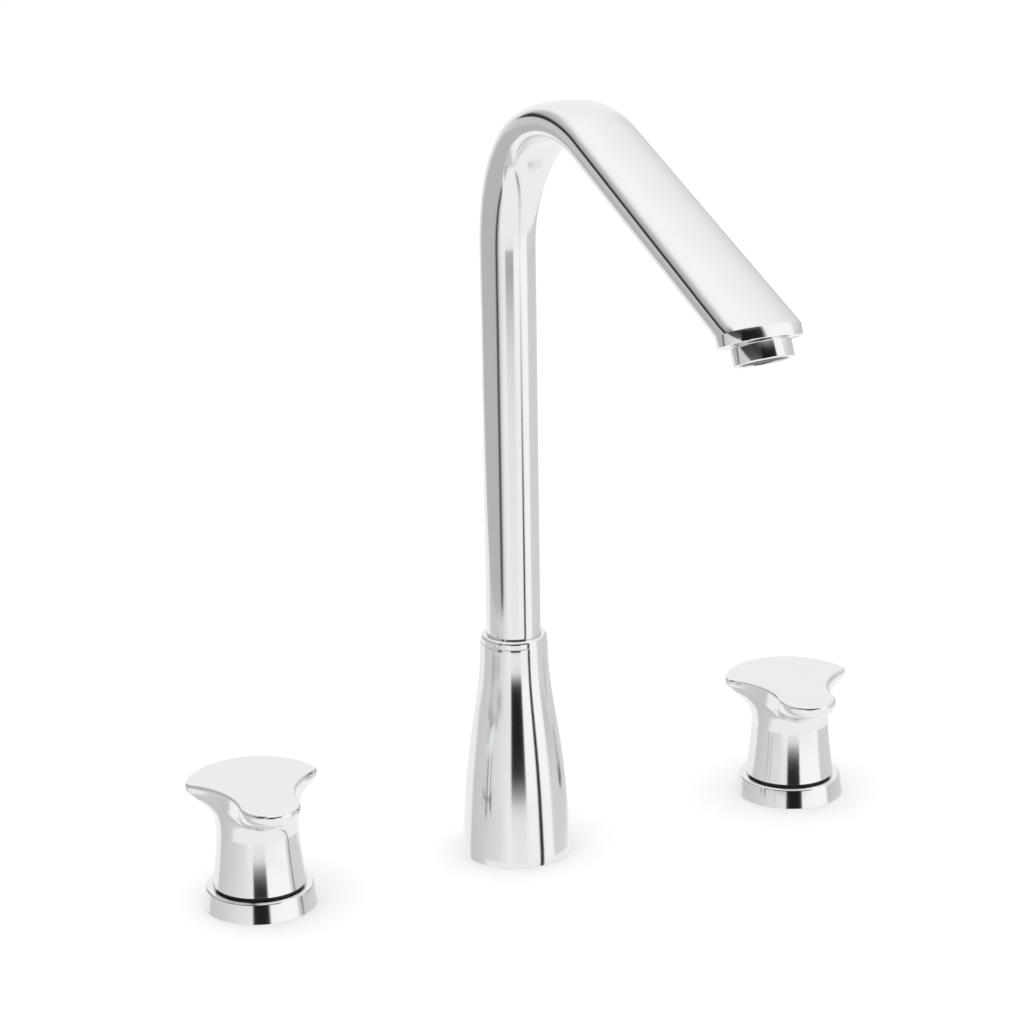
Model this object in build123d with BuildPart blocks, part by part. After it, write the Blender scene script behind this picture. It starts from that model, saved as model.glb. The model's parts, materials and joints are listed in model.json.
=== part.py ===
"""Two handle kitchen faucet for three deck holes: a tall swivel spout between two quarter-turn valves.

Millimetres. The worktop's upper face is z = 0, the spout's axis is the z axis, the spout points to -Y
and the handles stand left (-X, hot) and right (+X, cold) of it. Screw threads are plain cylinders.
"""

from build123d import *
import os
from math import cos, radians, sin, sqrt, tan

os.makedirs("parts", exist_ok=True)

# ------------------------------------------------------------------ fits shared by all pieces
THREAD_GAP = 0.05  # radial room between a male thread and its hole
RUNNING_GAP = 0.06  # radial room round a turning shaft
SEAT_GAP = 0.05  # room between parts pushed together
MOVING_GAP = 0.3  # room under the turning handle skirt

# ------------------------------------------------------------------ places of the three units
LEFT_OFFSET = 130.0  # spout axis to hot valve axis
RIGHT_OFFSET = 150.0  # spout axis to cold valve axis
LEFT_TURN = -9.0  # angle of the closed hot handle from straight ahead
RIGHT_TURN = -15.0  # angle of the closed cold handle from straight ahead

# ------------------------------------------------------------------ worktop clamp, same for all units
WORKTOP = 30.0  # thickness that is clamped
SHANK_R = 14.0
SHANK_ROOM = 0.3  # radial room in gaskets and washers
WASHER_R = 24.0
RUBBER_WASHER_T = 3.0
STEEL_WASHER_T = 1.5
SHANK_NUT_AF = 38.0  # across flats
SHANK_NUT_H = 8.0
GASKET_T = 2.0
SHANK_BOTTOM = -70.0
SHANK_FLOOR = 4.0  # metal below the chambers

# ------------------------------------------------------------------ side outlets and bridge tubes
OUTLET_Z = -58.0
STUB_R = 8.3
STUB_END = 27.0  # from the unit's axis
STUB_BORE_R = 4.5
TUBE_R = 6.0
TUBE_WALL = 1.0
TUBE_INSERTION = 7.0
OLIVE_L = 4.5
OLIVE_R = 7.5
OLIVE_BEVEL = 1.0
UNION_AF = 22.0
UNION_BACK = 2.5  # wall behind the olive
UNION_GRIP = 7.5  # thread engaged on the stub

# ------------------------------------------------------------------ valve body
VALVE_FLANGE_R = 21.5
VALVE_FLANGE_T = 3.0
BARREL_R = 13.5
BARREL_TOP = 12.0
CHAMBER_R = 11.3
CHAMBER_TOP = -2.5
SEAT_Z = -12.0
SEAT_R = 8.8
SEAT_T = 3.0
STANDPIPE_R = 7.6
STANDPIPE_BORE_R = 5.0
INLET_R = 10.475  # half inch pipe thread
INLET_L = 16.0

# ------------------------------------------------------------------ cartridge
CARTRIDGE_THREAD_R = 10.45
CARTRIDGE_SKIRT_R = 9.7
CARTRIDGE_SKIRT_GAP = 1.0  # from the skirt's edge to the seat
CARTRIDGE_AF = 24.0
CARTRIDGE_HEX_T = 4.2
CARTRIDGE_SEAL_T = 0.8
CARTRIDGE_SEAL_R = 12.6
CARTRIDGE_WAIST_R = 8.0
CARTRIDGE_NECK_TOP = 26.0
CARTRIDGE_SHOULDER_Z = 0.6  # roof of the disc chamber
DISC_R = 8.0
DISC_T = 3.0
DISC_PLAY = 0.08  # radial room round the discs
SEAT_SEAL_T = 2.0
SEAT_SEAL_BORE_R = 5.4
PORT_INNER = 1.8  # trapezium ports of the discs, along and across
PORT_OUTER = 6.0
PORT_INNER_W = 2.0
PORT_OUTER_W = 6.8
KEY_W = 3.0
KEY_DEPTH = 0.9
WINDOW_W = 9.0
WINDOW_H = 3.2

# ------------------------------------------------------------------ spindle
STEM_R = 4.0
STEM_COLLAR_R = 7.0
STEM_COLLAR_T = 1.6
DRIVE_BAR_W = 5.0
DRIVE_TONGUE_W = 2.6
DRIVE_TONGUE_L = 12.0
DRIVE_TONGUE_H = 1.2
STEM_TOP = 38.5
TEETH = 20
TOOTH_H = 0.4
TOOTH_LENGTH = 10.5
STEM_SEAL_Z = (10.0, 17.0)
STEM_SEAL_DEPTH = 1.1
STEM_SEAL_H = 1.9
CLIP_T = 0.8
CLIP_R = 6.0
CLIP_DEPTH = 0.8
CLIP_MOUTH = 3.4

# ------------------------------------------------------------------ cover ring and glide ring
COVER_FOOT_R = 26.0
COVER_TOP_R = 24.4
COVER_H = 9.4
COVER_TOP_T = 2.5
COVER_WALL = 1.8
COVER_EDGE = 0.9
GLIDE_R = 19.8
GLIDE_T = 0.8

# ------------------------------------------------------------------ handle
SKIRT_FOOT_R = 21.3
WAIST_R = 18.6
SKIRT_BOW = 0.35  # radius that the skirt's side is hollowed at mid height
WAIST_Z = 36.0
NECK_R = 18.3  # the head starts a hair inside the waist
SKIRT_WALL = 2.9
CAVITY_TOP = 46.0
HANDLE_TOP = 58.0
PLATE_T = 2.8
PLATE_EDGE = 1.3
HEAD_FLARE = (  # height above the waist, share of their reach that wings and lobe have there
    (0.0, 0.004, 0.004),
    (4.0, 0.03, 0.03),
    (8.0, 0.13, 0.12),
    (12.0, 0.40, 0.42),
    (15.6, 0.72, 0.88),
)
WING_HALF_SPAN = 30.6
WING_BACK = 7.2  # wing tips behind the axis
WING_TIP_TRIM = 2.2  # length rounded off each side of a wing tip
BACK_REACH = 33.4
LOBE_REACH = 41.7
LOBE_R = 13.6
FLANK_R = 38.0
BOSS_R = 9.5
BOSS_BOTTOM = 28.0
INSERT_R = 6.4
INSERT_BOTTOM = 28.3
INSERT_TOP = 40.0
INSERT_ROOF = 1.2
RIB_W = 9.0
SCREW_R = 2.5
SCREW_L = 10.0
SCREW_Z = 33.5
SCREW_SOCKET_AF = 2.5
SCREW_SOCKET_DEPTH = 3.0

# ------------------------------------------------------------------ bell and collar round the spout's foot
BELL_FOOT_R = 25.6
BELL_TOP_R = 15.6
BELL_H = 103.7
BELL_WALL = 2.0
BELL_EDGE = 0.5
BELL_SHAPE = ((22.3, 44.0), (18.5, 71.0), (16.3, 88.0))  # radius and height on the way up
BELL_THREAD_R = 19.0
BELL_THREAD_TOP = 20.0
COLLAR_R = 15.3
COLLAR_H = 3.4
COLLAR_EDGE = 1.5
COLLAR_SPIGOT_R = 13.85
COLLAR_SPIGOT_L = 5.0

# ------------------------------------------------------------------ spout socket
SPOUT_FLANGE_R = 22.5
SPOUT_FLANGE_T = 4.0
SOCKET_R = 13.4
SOCKET_TOP = 82.0
SOCKET_BORE_R = 10.4
SOCKET_FLOOR = 34.0
WATERWAY_R = 7.0
THRUST_T = 2.0
LOCK_Z = 66.0
LOCK_TIP_R = 2.0
LOCK_TIP_L = 1.2
LOCK_L = 5.0

# ------------------------------------------------------------------ spout tail inside the socket
TAIL_BOTTOM = 37.0
TAIL_FLANGE_T = 4.0
TAIL_PLUG_L = 14.0
TAIL_BORE_R = 6.5
TAIL_SEAL_Z = (44.0, 52.0)
TAIL_SEAL_DEPTH = 1.7
TAIL_SEAL_H = 2.6
SEAL_ROUND = 0.4
LOCK_GROOVE_DEPTH = 1.4
LOCK_GROOVE_W = 5.8

# ------------------------------------------------------------------ spout tube
COLUMN_R = 12.5
COLUMN_WALL = 1.5
ARCH_START = 288.0
ARCH_R = 65.5
LEG_DROP = 23.6  # fall of the leg below level, degrees
LEG_LENGTH = 134.2
LEG_HALF_W = 15.7
LEG_HALF_T = 7.95
LEG_CORNER = 0.78  # 0.5523 gives an ellipse, 1 a box
FLARE_FROM = 0.0  # degrees of arch where the tube starts and ends to flatten
FLARE_TO = 76.0
ARCH_SECTIONS = 10
TIP_HALF_W = 17.1
TIP_HALF_T = 8.3  # square to the leg
TIP_CORNER = 0.72
TIP_TILT = 22.4  # nozzle leans forward of plumb
TIP_LIP = 4.8

# ------------------------------------------------------------------ nozzle and aerator, from the tip's face
NOZZLE_R = 10.9
NOZZLE_L = 4.0
NOZZLE_BORE_R = 8.6
AERATOR_R = 11.9
AERATOR_L = 7.3
AERATOR_EDGE = 0.5
AERATOR_BORE_R = 9.5
AERATOR_LIP_T = 1.8
AERATOR_WASHER_T = 1.2
INSERT_FLANGE_T = 0.8
INSERT_HOLE_R = 0.85
INSERT_PITCH = 1.35
SCREEN_T = 0.3
SCREEN_HOLE_R = 0.55

# ------------------------------------------------------------------ values worked out from the sizes above
ROUND_CORNER = 4.0 / 3.0 * (sqrt(2.0) - 1.0)
ARCH_SWEEP = 90.0 + LEG_DROP
CHAMBER_BOTTOM = SHANK_BOTTOM + SHANK_FLOOR
WASHER_TOP = -WORKTOP
NUT_TOP = WASHER_TOP - RUBBER_WASHER_T - STEEL_WASHER_T
SKIRT_BOTTOM = COVER_H + GLIDE_T + MOVING_GAP
HEX_BOTTOM = BARREL_TOP + CARTRIDGE_SEAL_T
HEX_TOP = HEX_BOTTOM + CARTRIDGE_HEX_T
FIXED_DISC_Z = SEAT_Z + SEAT_SEAL_T
MOVING_DISC_Z = FIXED_DISC_Z + DISC_T
DRIVE_Z = MOVING_DISC_Z + DISC_T
TAIL_R = SOCKET_BORE_R - RUNNING_GAP
TAIL_FLANGE_Z = SOCKET_TOP + THRUST_T + SEAT_GAP
TUBE_BOTTOM = TAIL_FLANGE_Z + TAIL_FLANGE_T
COLUMN_BORE_R = COLUMN_R - COLUMN_WALL
TIP_ANGLE = LEG_DROP + TIP_TILT  # between the leg and the tip's face
SCREW_HOLE_R = SCREW_R + THREAD_GAP


def save(piece, name):
    """Label a finished piece and write its file."""
    piece.part.label = name
    export_step(piece.part, f"parts/{name}.step")


def level(x, x_dir=(1, 0, 0)):
    """Horizontal plane on the worktop, centred on a unit's axis."""
    return Plane(origin=(x, 0, 0), x_dir=x_dir, z_dir=(0, 0, 1))


def upright(base):
    """Upright plane through a unit's axis: sketch x is the radius, sketch y the height."""
    return Plane(origin=base.origin, x_dir=base.x_dir, z_dir=-base.y_dir)


def facing(base, x, z):
    """Upright plane square to the unit's x direction, x away from its axis, at height z."""
    return Plane(origin=base.from_local_coords((x, 0, z)), x_dir=base.y_dir, z_dir=base.x_dir)


def disc(base, bottom, top, outer_r, inner_r=0.0):
    """Flat round disc or ring between two heights."""
    with BuildSketch(base.offset(bottom)) as outline:
        Circle(outer_r)
        if inner_r:
            Circle(inner_r, mode=Mode.SUBTRACT)
    extrude(outline.sketch, amount=top - bottom)


def bore(base, bottom, top, radius):
    """Round hole between two heights."""
    with BuildSketch(base.offset(bottom)) as outline:
        Circle(radius)
    extrude(outline.sketch, amount=top - bottom, mode=Mode.SUBTRACT)


def turned(base, *corners, mode=Mode.ADD):
    """Body of revolution from corner points of radius and height."""
    with BuildSketch(upright(base)) as half:
        with BuildLine():
            Polyline(*corners, close=True)
        make_face()
    revolve(half.sketch, axis=Axis(base.origin, (0, 0, 1)), mode=mode)


def rod(base, start, end, z, radius, mode=Mode.ADD):
    """Level round bar or hole along the plane's x direction, at height z."""
    with BuildSketch(facing(base, start, z)) as outline:
        Circle(radius)
    extrude(outline.sketch, amount=end - start, mode=mode)


def hexagon(base, bottom, top, across_flats):
    with BuildSketch(base.offset(bottom)) as outline:
        RegularPolygon(radius=across_flats / 2, side_count=6, major_radius=False)
    extrude(outline.sketch, amount=top - bottom)


def level_hexagon(base, start, end, z, across_flats, mode=Mode.ADD):
    with BuildSketch(facing(base, start, z)) as outline:
        RegularPolygon(radius=across_flats / 2, side_count=6, major_radius=False)
    extrude(outline.sketch, amount=end - start, mode=mode)


def union_stub(base):
    """Threaded stub of a side outlet."""
    rod(base, 0, STUB_END, OUTLET_Z, STUB_R)


def union_bore(base):
    """Waterway of a side outlet, widened at its end for the bridge tube."""
    rod(base, 0, STUB_END, OUTLET_Z, STUB_BORE_R, mode=Mode.SUBTRACT)
    rod(base, STUB_END - TUBE_INSERTION, STUB_END, OUTLET_Z, TUBE_R + SEAT_GAP, mode=Mode.SUBTRACT)


def toothed(tip_r, root_r):
    """Star outline of the spindle's teeth or of the socket that grips them."""
    step = 180.0 / TEETH
    corners = []
    for i in range(2 * TEETH):
        radius = root_r if i % 2 else tip_r
        corners.append((radius * cos(radians(i * step)), radius * sin(radians(i * step))))
    Polygon(*corners, align=None)


def disc_ports(start_angle):
    """Pair of opposite ports that two ceramic discs line up when the valve is open."""
    with PolarLocations(0, 2, start_angle=start_angle):
        Polygon(
            (PORT_INNER, -PORT_INNER_W / 2),
            (PORT_OUTER, -PORT_OUTER_W / 2),
            (PORT_OUTER, PORT_OUTER_W / 2),
            (PORT_INNER, PORT_INNER_W / 2),
            align=None,
            mode=Mode.SUBTRACT,
        )


def seal_rings(base, heights, inner_r, outer_r, height):
    """Rubber rings squeezed into grooves."""
    for z in heights:
        with BuildSketch(upright(base)) as half:
            with Locations(((inner_r + outer_r) / 2, z)):
                RectangleRounded(outer_r - inner_r, height, SEAL_ROUND)
        revolve(half.sketch, axis=Axis(base.origin, (0, 0, 1)))


def grooves(base, heights, width, shaft_r, depth):
    for z in heights:
        with BuildSketch(base.offset(z - width / 2)) as outline:
            Circle(2 * shaft_r)
            Circle(shaft_r - depth, mode=Mode.SUBTRACT)
        extrude(outline.sketch, amount=width, mode=Mode.SUBTRACT)


# ================================================================== spout tube
def arch_plane(angle):
    """Section plane after so many degrees of arch, its y axis on the outside of the bend."""
    a = radians(angle)
    centre = (0, -ARCH_R * (1 - cos(a)), ARCH_START + ARCH_R * sin(a))
    return Plane(origin=centre, x_dir=(1, 0, 0), z_dir=(0, -sin(a), cos(a)))


def flatness(angle):
    """0 where the tube is round, 1 where it is fully flattened, smooth between."""
    t = min(max((angle - FLARE_FROM) / (FLARE_TO - FLARE_FROM), 0.0), 1.0)
    return t * t * (3 - 2 * t)


def tube_outline(plane, half_w, half_t, corner):
    """Closed outline of four equal quarter curves, from round to flattened."""
    with BuildSketch(plane) as outline:
        with BuildLine():
            for sx, sy in ((1, 1), (-1, 1), (-1, -1), (1, -1)):
                side = (sx * half_w, 0)
                top = (0, sy * half_t)
                by_side = (sx * half_w, sy * corner * half_t)
                by_top = (sx * corner * half_w, sy * half_t)
                if sx * sy > 0:
                    Bezier(side, by_side, by_top, top)
                else:
                    Bezier(top, by_top, by_side, side)
        make_face()
    return outline.sketch


def tube_section(angle, wall):
    """Tube section after so many degrees of arch, drawn in by a wall thickness."""
    k = flatness(angle)
    half_w = COLUMN_R + (LEG_HALF_W - COLUMN_R) * k - wall
    half_t = COLUMN_R + (LEG_HALF_T - COLUMN_R) * k - wall
    return tube_outline(arch_plane(angle), half_w, half_t, ROUND_CORNER + (LEG_CORNER - ROUND_CORNER) * k)


def shoulder_plane():
    """Plane square to the nozzle where the leg ends and the tip's lip starts."""
    leg = arch_plane(ARCH_SWEEP)
    down = (0, -sin(radians(TIP_TILT)), -cos(radians(TIP_TILT)))
    return Plane(origin=leg.origin + leg.z_dir * LEG_LENGTH, x_dir=(1, 0, 0), z_dir=down)


def tip_section(wall):
    """Oval where the shoulder cuts the leg."""
    half_t = (TIP_HALF_T - wall) / sin(radians(TIP_ANGLE))
    return tube_outline(shoulder_plane(), TIP_HALF_W - wall, half_t, TIP_CORNER)


def tube_run(wall):
    """Column, arch and leg as one run, drawn in by a wall thickness."""
    extrude(tube_section(0, wall), amount=TUBE_BOTTOM - ARCH_START)
    loft([tube_section(ARCH_SWEEP * i / ARCH_SECTIONS, wall) for i in range(ARCH_SECTIONS + 1)])
    loft([tube_section(ARCH_SWEEP, wall), tip_section(wall)], ruled=True)


tip = shoulder_plane().offset(TIP_LIP)

with BuildPart() as waterway:
    tube_run(COLUMN_WALL)

with BuildPart() as spout_tube:
    tube_run(0.0)
    extrude(tip_section(0.0), amount=TIP_LIP)
    disc(tip, -TIP_LIP, NOZZLE_L, NOZZLE_R)
    add(waterway.part, mode=Mode.SUBTRACT)
    bore(tip, -TIP_LIP, NOZZLE_L, NOZZLE_BORE_R)
save(spout_tube, "spout_tube")

# ================================================================== aerator
washer_z = NOZZLE_L
insert_z = washer_z + AERATOR_WASHER_T
lip_z = insert_z + INSERT_FLANGE_T
aerator_foot = lip_z + AERATOR_LIP_T

with BuildPart() as aerator_housing:
    disc(tip, aerator_foot - AERATOR_L, aerator_foot, AERATOR_R, AERATOR_BORE_R)
    bore(tip, aerator_foot - AERATOR_L, lip_z, NOZZLE_R + THREAD_GAP)
    rim = aerator_housing.edges().filter_by(GeomType.CIRCLE).sort_by(SortBy.RADIUS)[-2:]
    chamfer(rim, AERATOR_EDGE)
save(aerator_housing, "aerator_housing")

with BuildPart() as aerator_washer:
    disc(tip, washer_z, insert_z, NOZZLE_R - THREAD_GAP, NOZZLE_BORE_R)
save(aerator_washer, "aerator_washer")

with BuildPart() as aerator_insert:
    disc(tip, insert_z, lip_z, NOZZLE_R - THREAD_GAP)
    disc(tip, lip_z, aerator_foot - AERATOR_EDGE, AERATOR_BORE_R - SEAT_GAP)
    with BuildSketch(tip.offset(insert_z)):
        with HexLocations(radius=INSERT_PITCH, x_count=6, y_count=6):
            Circle(INSERT_HOLE_R)
    extrude(amount=aerator_foot - insert_z, mode=Mode.SUBTRACT)
save(aerator_insert, "aerator_insert")

with BuildPart() as aerator_screen:
    disc(tip, insert_z - SCREEN_T, insert_z, NOZZLE_BORE_R - SEAT_GAP)
    with BuildSketch(tip.offset(insert_z - SCREEN_T)):
        with GridLocations(2 * INSERT_HOLE_R, 2 * INSERT_HOLE_R, 6, 6):
            Circle(SCREEN_HOLE_R)
    extrude(amount=SCREEN_T, mode=Mode.SUBTRACT)
save(aerator_screen, "aerator_screen")

# ================================================================== spout foot
centre = level(0)

with BuildPart() as spout_tailpiece:
    disc(centre, TAIL_BOTTOM, TAIL_FLANGE_Z, TAIL_R)
    disc(centre, TAIL_FLANGE_Z, TUBE_BOTTOM, COLUMN_R - SEAT_GAP)
    disc(centre, TUBE_BOTTOM, TUBE_BOTTOM + TAIL_PLUG_L, COLUMN_BORE_R - SEAT_GAP)
    bore(centre, TAIL_BOTTOM, TUBE_BOTTOM + TAIL_PLUG_L, TAIL_BORE_R)
    grooves(centre, TAIL_SEAL_Z, TAIL_SEAL_H + 2 * SEAT_GAP, TAIL_R, TAIL_SEAL_DEPTH)
    grooves(centre, (LOCK_Z,), LOCK_GROOVE_W, TAIL_R, LOCK_GROOVE_DEPTH)
save(spout_tailpiece, "spout_tailpiece")

with BuildPart() as spout_seals:
    seal_rings(centre, TAIL_SEAL_Z, TAIL_R - TAIL_SEAL_DEPTH + SEAT_GAP, TAIL_R, TAIL_SEAL_H)
save(spout_seals, "spout_seals")

with BuildPart() as spout_thrust_ring:
    disc(centre, SOCKET_TOP, SOCKET_TOP + THRUST_T, SOCKET_R, SOCKET_BORE_R)
save(spout_thrust_ring, "spout_thrust_ring")

with BuildPart() as spout_body:
    disc(centre, SHANK_BOTTOM, GASKET_T, SHANK_R)
    disc(centre, GASKET_T, GASKET_T + SPOUT_FLANGE_T, SPOUT_FLANGE_R)
    disc(centre, GASKET_T + SPOUT_FLANGE_T, BELL_THREAD_TOP, BELL_THREAD_R)
    disc(centre, BELL_THREAD_TOP, SOCKET_TOP, SOCKET_R)
    for x_dir in ((1, 0, 0), (-1, 0, 0)):
        union_stub(level(0, x_dir))
    bore(centre, SOCKET_FLOOR, SOCKET_TOP, SOCKET_BORE_R)
    bore(centre, CHAMBER_BOTTOM, SOCKET_FLOOR, WATERWAY_R)
    for x_dir in ((1, 0, 0), (-1, 0, 0)):
        union_bore(level(0, x_dir))
    rod(level(0, (0, 1, 0)), 0, SOCKET_R, LOCK_Z, SCREW_HOLE_R, mode=Mode.SUBTRACT)
save(spout_body, "spout_body")


def grub_screw(base, start, z, length, tip_length, tip_r):
    """Headless screw along the plane's x direction, its narrow end towards the axis."""
    end = start + length
    rod(base, start, start + tip_length, z, tip_r)
    rod(base, start + tip_length, end, z, SCREW_R)
    level_hexagon(base, end - SCREW_SOCKET_DEPTH, end, z, SCREW_SOCKET_AF, mode=Mode.SUBTRACT)


with BuildPart() as spout_lock_screw:
    groove_floor = TAIL_R - LOCK_GROOVE_DEPTH
    grub_screw(level(0, (0, 1, 0)), groove_floor + MOVING_GAP, LOCK_Z, LOCK_L, LOCK_TIP_L, LOCK_TIP_R)
save(spout_lock_screw, "spout_lock_screw")

with BuildPart() as base_gasket:
    disc(centre, 0, GASKET_T, SPOUT_FLANGE_R, SHANK_R + SHANK_ROOM)
save(base_gasket, "base_gasket")


def bell_side(wall):
    """Waisted side of the bell, drawn in by a wall thickness."""
    points = [(BELL_FOOT_R - wall, 0), *((r - wall, z) for r, z in BELL_SHAPE), (BELL_TOP_R - wall, BELL_H)]
    return Spline(*points)


with BuildPart() as base_shroud:
    with BuildSketch(upright(centre)):
        with BuildLine():
            side = bell_side(0)
            Polyline(side @ 1, (0, BELL_H), (0, 0), side @ 0)
        make_face()
    revolve(axis=Axis.Z)
    fillet(base_shroud.edges().group_by(Axis.Z)[0], BELL_EDGE)
    with BuildSketch(upright(centre)):
        with BuildLine():
            side = bell_side(BELL_WALL)
            Polyline(side @ 1, (0, BELL_H), (0, 0), side @ 0)
        make_face()
        with BuildLine():
            land_foot = GASKET_T + SPOUT_FLANGE_T + SEAT_GAP
            Polyline(
                (BELL_THREAD_R + THREAD_GAP, land_foot),
                (BELL_FOOT_R, land_foot),
                (BELL_FOOT_R, BELL_THREAD_TOP),
                (BELL_THREAD_R + THREAD_GAP, BELL_THREAD_TOP),
                close=True,
            )
        make_face(mode=Mode.SUBTRACT)
    revolve(axis=Axis.Z, mode=Mode.SUBTRACT)
    bore(centre, BELL_H - COLLAR_SPIGOT_L - SEAT_GAP, BELL_H, COLLAR_SPIGOT_R + SEAT_GAP)
save(base_shroud, "base_shroud")

with BuildPart() as spout_collar:
    disc(centre, BELL_H, BELL_H + COLLAR_H, COLLAR_R)
    fillet(spout_collar.edges().group_by(Axis.Z)[-1], COLLAR_EDGE)
    disc(centre, BELL_H - COLLAR_SPIGOT_L, BELL_H, COLLAR_SPIGOT_R)
    bore(centre, BELL_H - COLLAR_SPIGOT_L, BELL_H + COLLAR_H, COLUMN_R + RUNNING_GAP)
save(spout_collar, "spout_collar")

# ================================================================== worktop clamps of all three units
unit_levels = (level(-LEFT_OFFSET), centre, level(RIGHT_OFFSET))

with BuildPart() as rubber_washers:
    for base in unit_levels:
        disc(base, WASHER_TOP - RUBBER_WASHER_T, WASHER_TOP, WASHER_R, SHANK_R + SHANK_ROOM)
save(rubber_washers, "rubber_washers")

with BuildPart() as steel_washers:
    for base in unit_levels:
        disc(base, NUT_TOP, NUT_TOP + STEEL_WASHER_T, WASHER_R, SHANK_R + SHANK_ROOM)
save(steel_washers, "steel_washers")

with BuildPart() as shank_nuts:
    for base in unit_levels:
        hexagon(base, NUT_TOP - SHANK_NUT_H, NUT_TOP, SHANK_NUT_AF)
        bore(base, NUT_TOP - SHANK_NUT_H, NUT_TOP, SHANK_R + THREAD_GAP)
save(shank_nuts, "shank_nuts")

# ================================================================== bridge tubes and their unions
unions = (
    level(-LEFT_OFFSET),
    level(0, (-1, 0, 0)),
    level(0),
    level(RIGHT_OFFSET, (-1, 0, 0)),
)

with BuildPart() as union_olives:
    for base in unions:
        rod(base, STUB_END, STUB_END + OLIVE_L, OUTLET_Z, OLIVE_R)
    chamfer(union_olives.edges().filter_by(GeomType.CIRCLE), OLIVE_BEVEL)
    for base in unions:
        rod(base, STUB_END, STUB_END + OLIVE_L, OUTLET_Z, TUBE_R + SEAT_GAP, mode=Mode.SUBTRACT)
save(union_olives, "union_olives")

with BuildPart() as union_nuts:
    for base in unions:
        nut_front = STUB_END - UNION_GRIP
        nut_seat = STUB_END + OLIVE_L
        nut_back = nut_seat + UNION_BACK
        level_hexagon(base, nut_front, nut_back, OUTLET_Z, UNION_AF)
        rod(base, nut_front, nut_seat, OUTLET_Z, STUB_R + THREAD_GAP, mode=Mode.SUBTRACT)
        rod(base, nut_front, nut_back, OUTLET_Z, TUBE_R + THREAD_GAP, mode=Mode.SUBTRACT)
save(union_nuts, "union_nuts")


def bridge_tube(base, spacing):
    """Straight copper tube from a valve's outlet to the spout's tee."""
    start = STUB_END - TUBE_INSERTION + SEAT_GAP
    rod(base, start, spacing - start, OUTLET_Z, TUBE_R)
    rod(base, start, spacing - start, OUTLET_Z, TUBE_R - TUBE_WALL, mode=Mode.SUBTRACT)


with BuildPart() as hot_bridge_tube:
    bridge_tube(level(-LEFT_OFFSET), LEFT_OFFSET)
save(hot_bridge_tube, "hot_bridge_tube")

with BuildPart() as cold_bridge_tube:
    bridge_tube(level(0), RIGHT_OFFSET)
save(cold_bridge_tube, "cold_bridge_tube")


# ================================================================== the two handle units
def handle_plan():
    """Points of the handle's right half: lobe's front and end, flank's middle, round the wing tip, back."""
    lobe = Vector(0, LOBE_R - LOBE_REACH)
    tip = Vector(WING_HALF_SPAN, WING_BACK)
    away = (tip - lobe).length
    reach = LOBE_R + FLANK_R
    along = (reach**2 - FLANK_R**2 + away**2) / (2 * away)
    axis = (tip - lobe).normalized()
    hollow = lobe + axis * along + axis.rotate(Axis.Z, -90) * sqrt(reach**2 - along**2)
    join = lobe + (hollow - lobe) * (LOBE_R / reach)
    flank = hollow + ((tip + join) / 2 - hollow).normalized() * FLANK_R
    rise = BACK_REACH - WING_BACK
    bow = Vector(0, BACK_REACH - (WING_HALF_SPAN**2 + rise**2) / (2 * rise))
    before = tip + (tip - hollow).normalized().rotate(Axis.Z, 90) * WING_TIP_TRIM
    after = tip + (tip - bow).normalized().rotate(Axis.Z, 90) * WING_TIP_TRIM
    blunt = 1 / (1 + (after - before).length / (2 * WING_TIP_TRIM))
    rounded = tip + ((before + after) / 2 - tip) * blunt
    return Vector(0, -LOBE_REACH), join, flank, before, rounded, after, Vector(0, BACK_REACH)


def handle_section(plane, radius, wings, lobe):
    """Section of the handle, each point between a circle (share 0) and the full plan (share 1)."""
    shares = (lobe, lobe, (lobe + wings) / 2, wings, wings, wings, wings)
    right = [p.normalized() * radius * (1 - g) + p * g for p, g in zip(handle_plan(), shares)]
    left = [Vector(-p.X, p.Y) for p in right]
    with BuildSketch(plane) as section:
        with BuildLine():
            ThreePointArc(left[1], right[0], right[1])
            ThreePointArc(right[1], right[2], right[3])
            ThreePointArc(right[3], right[4], right[5])
            ThreePointArc(right[5], right[6], left[5])
            ThreePointArc(left[5], left[4], left[3])
            ThreePointArc(left[3], left[2], left[1])
        make_face()
    return section.sketch


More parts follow.
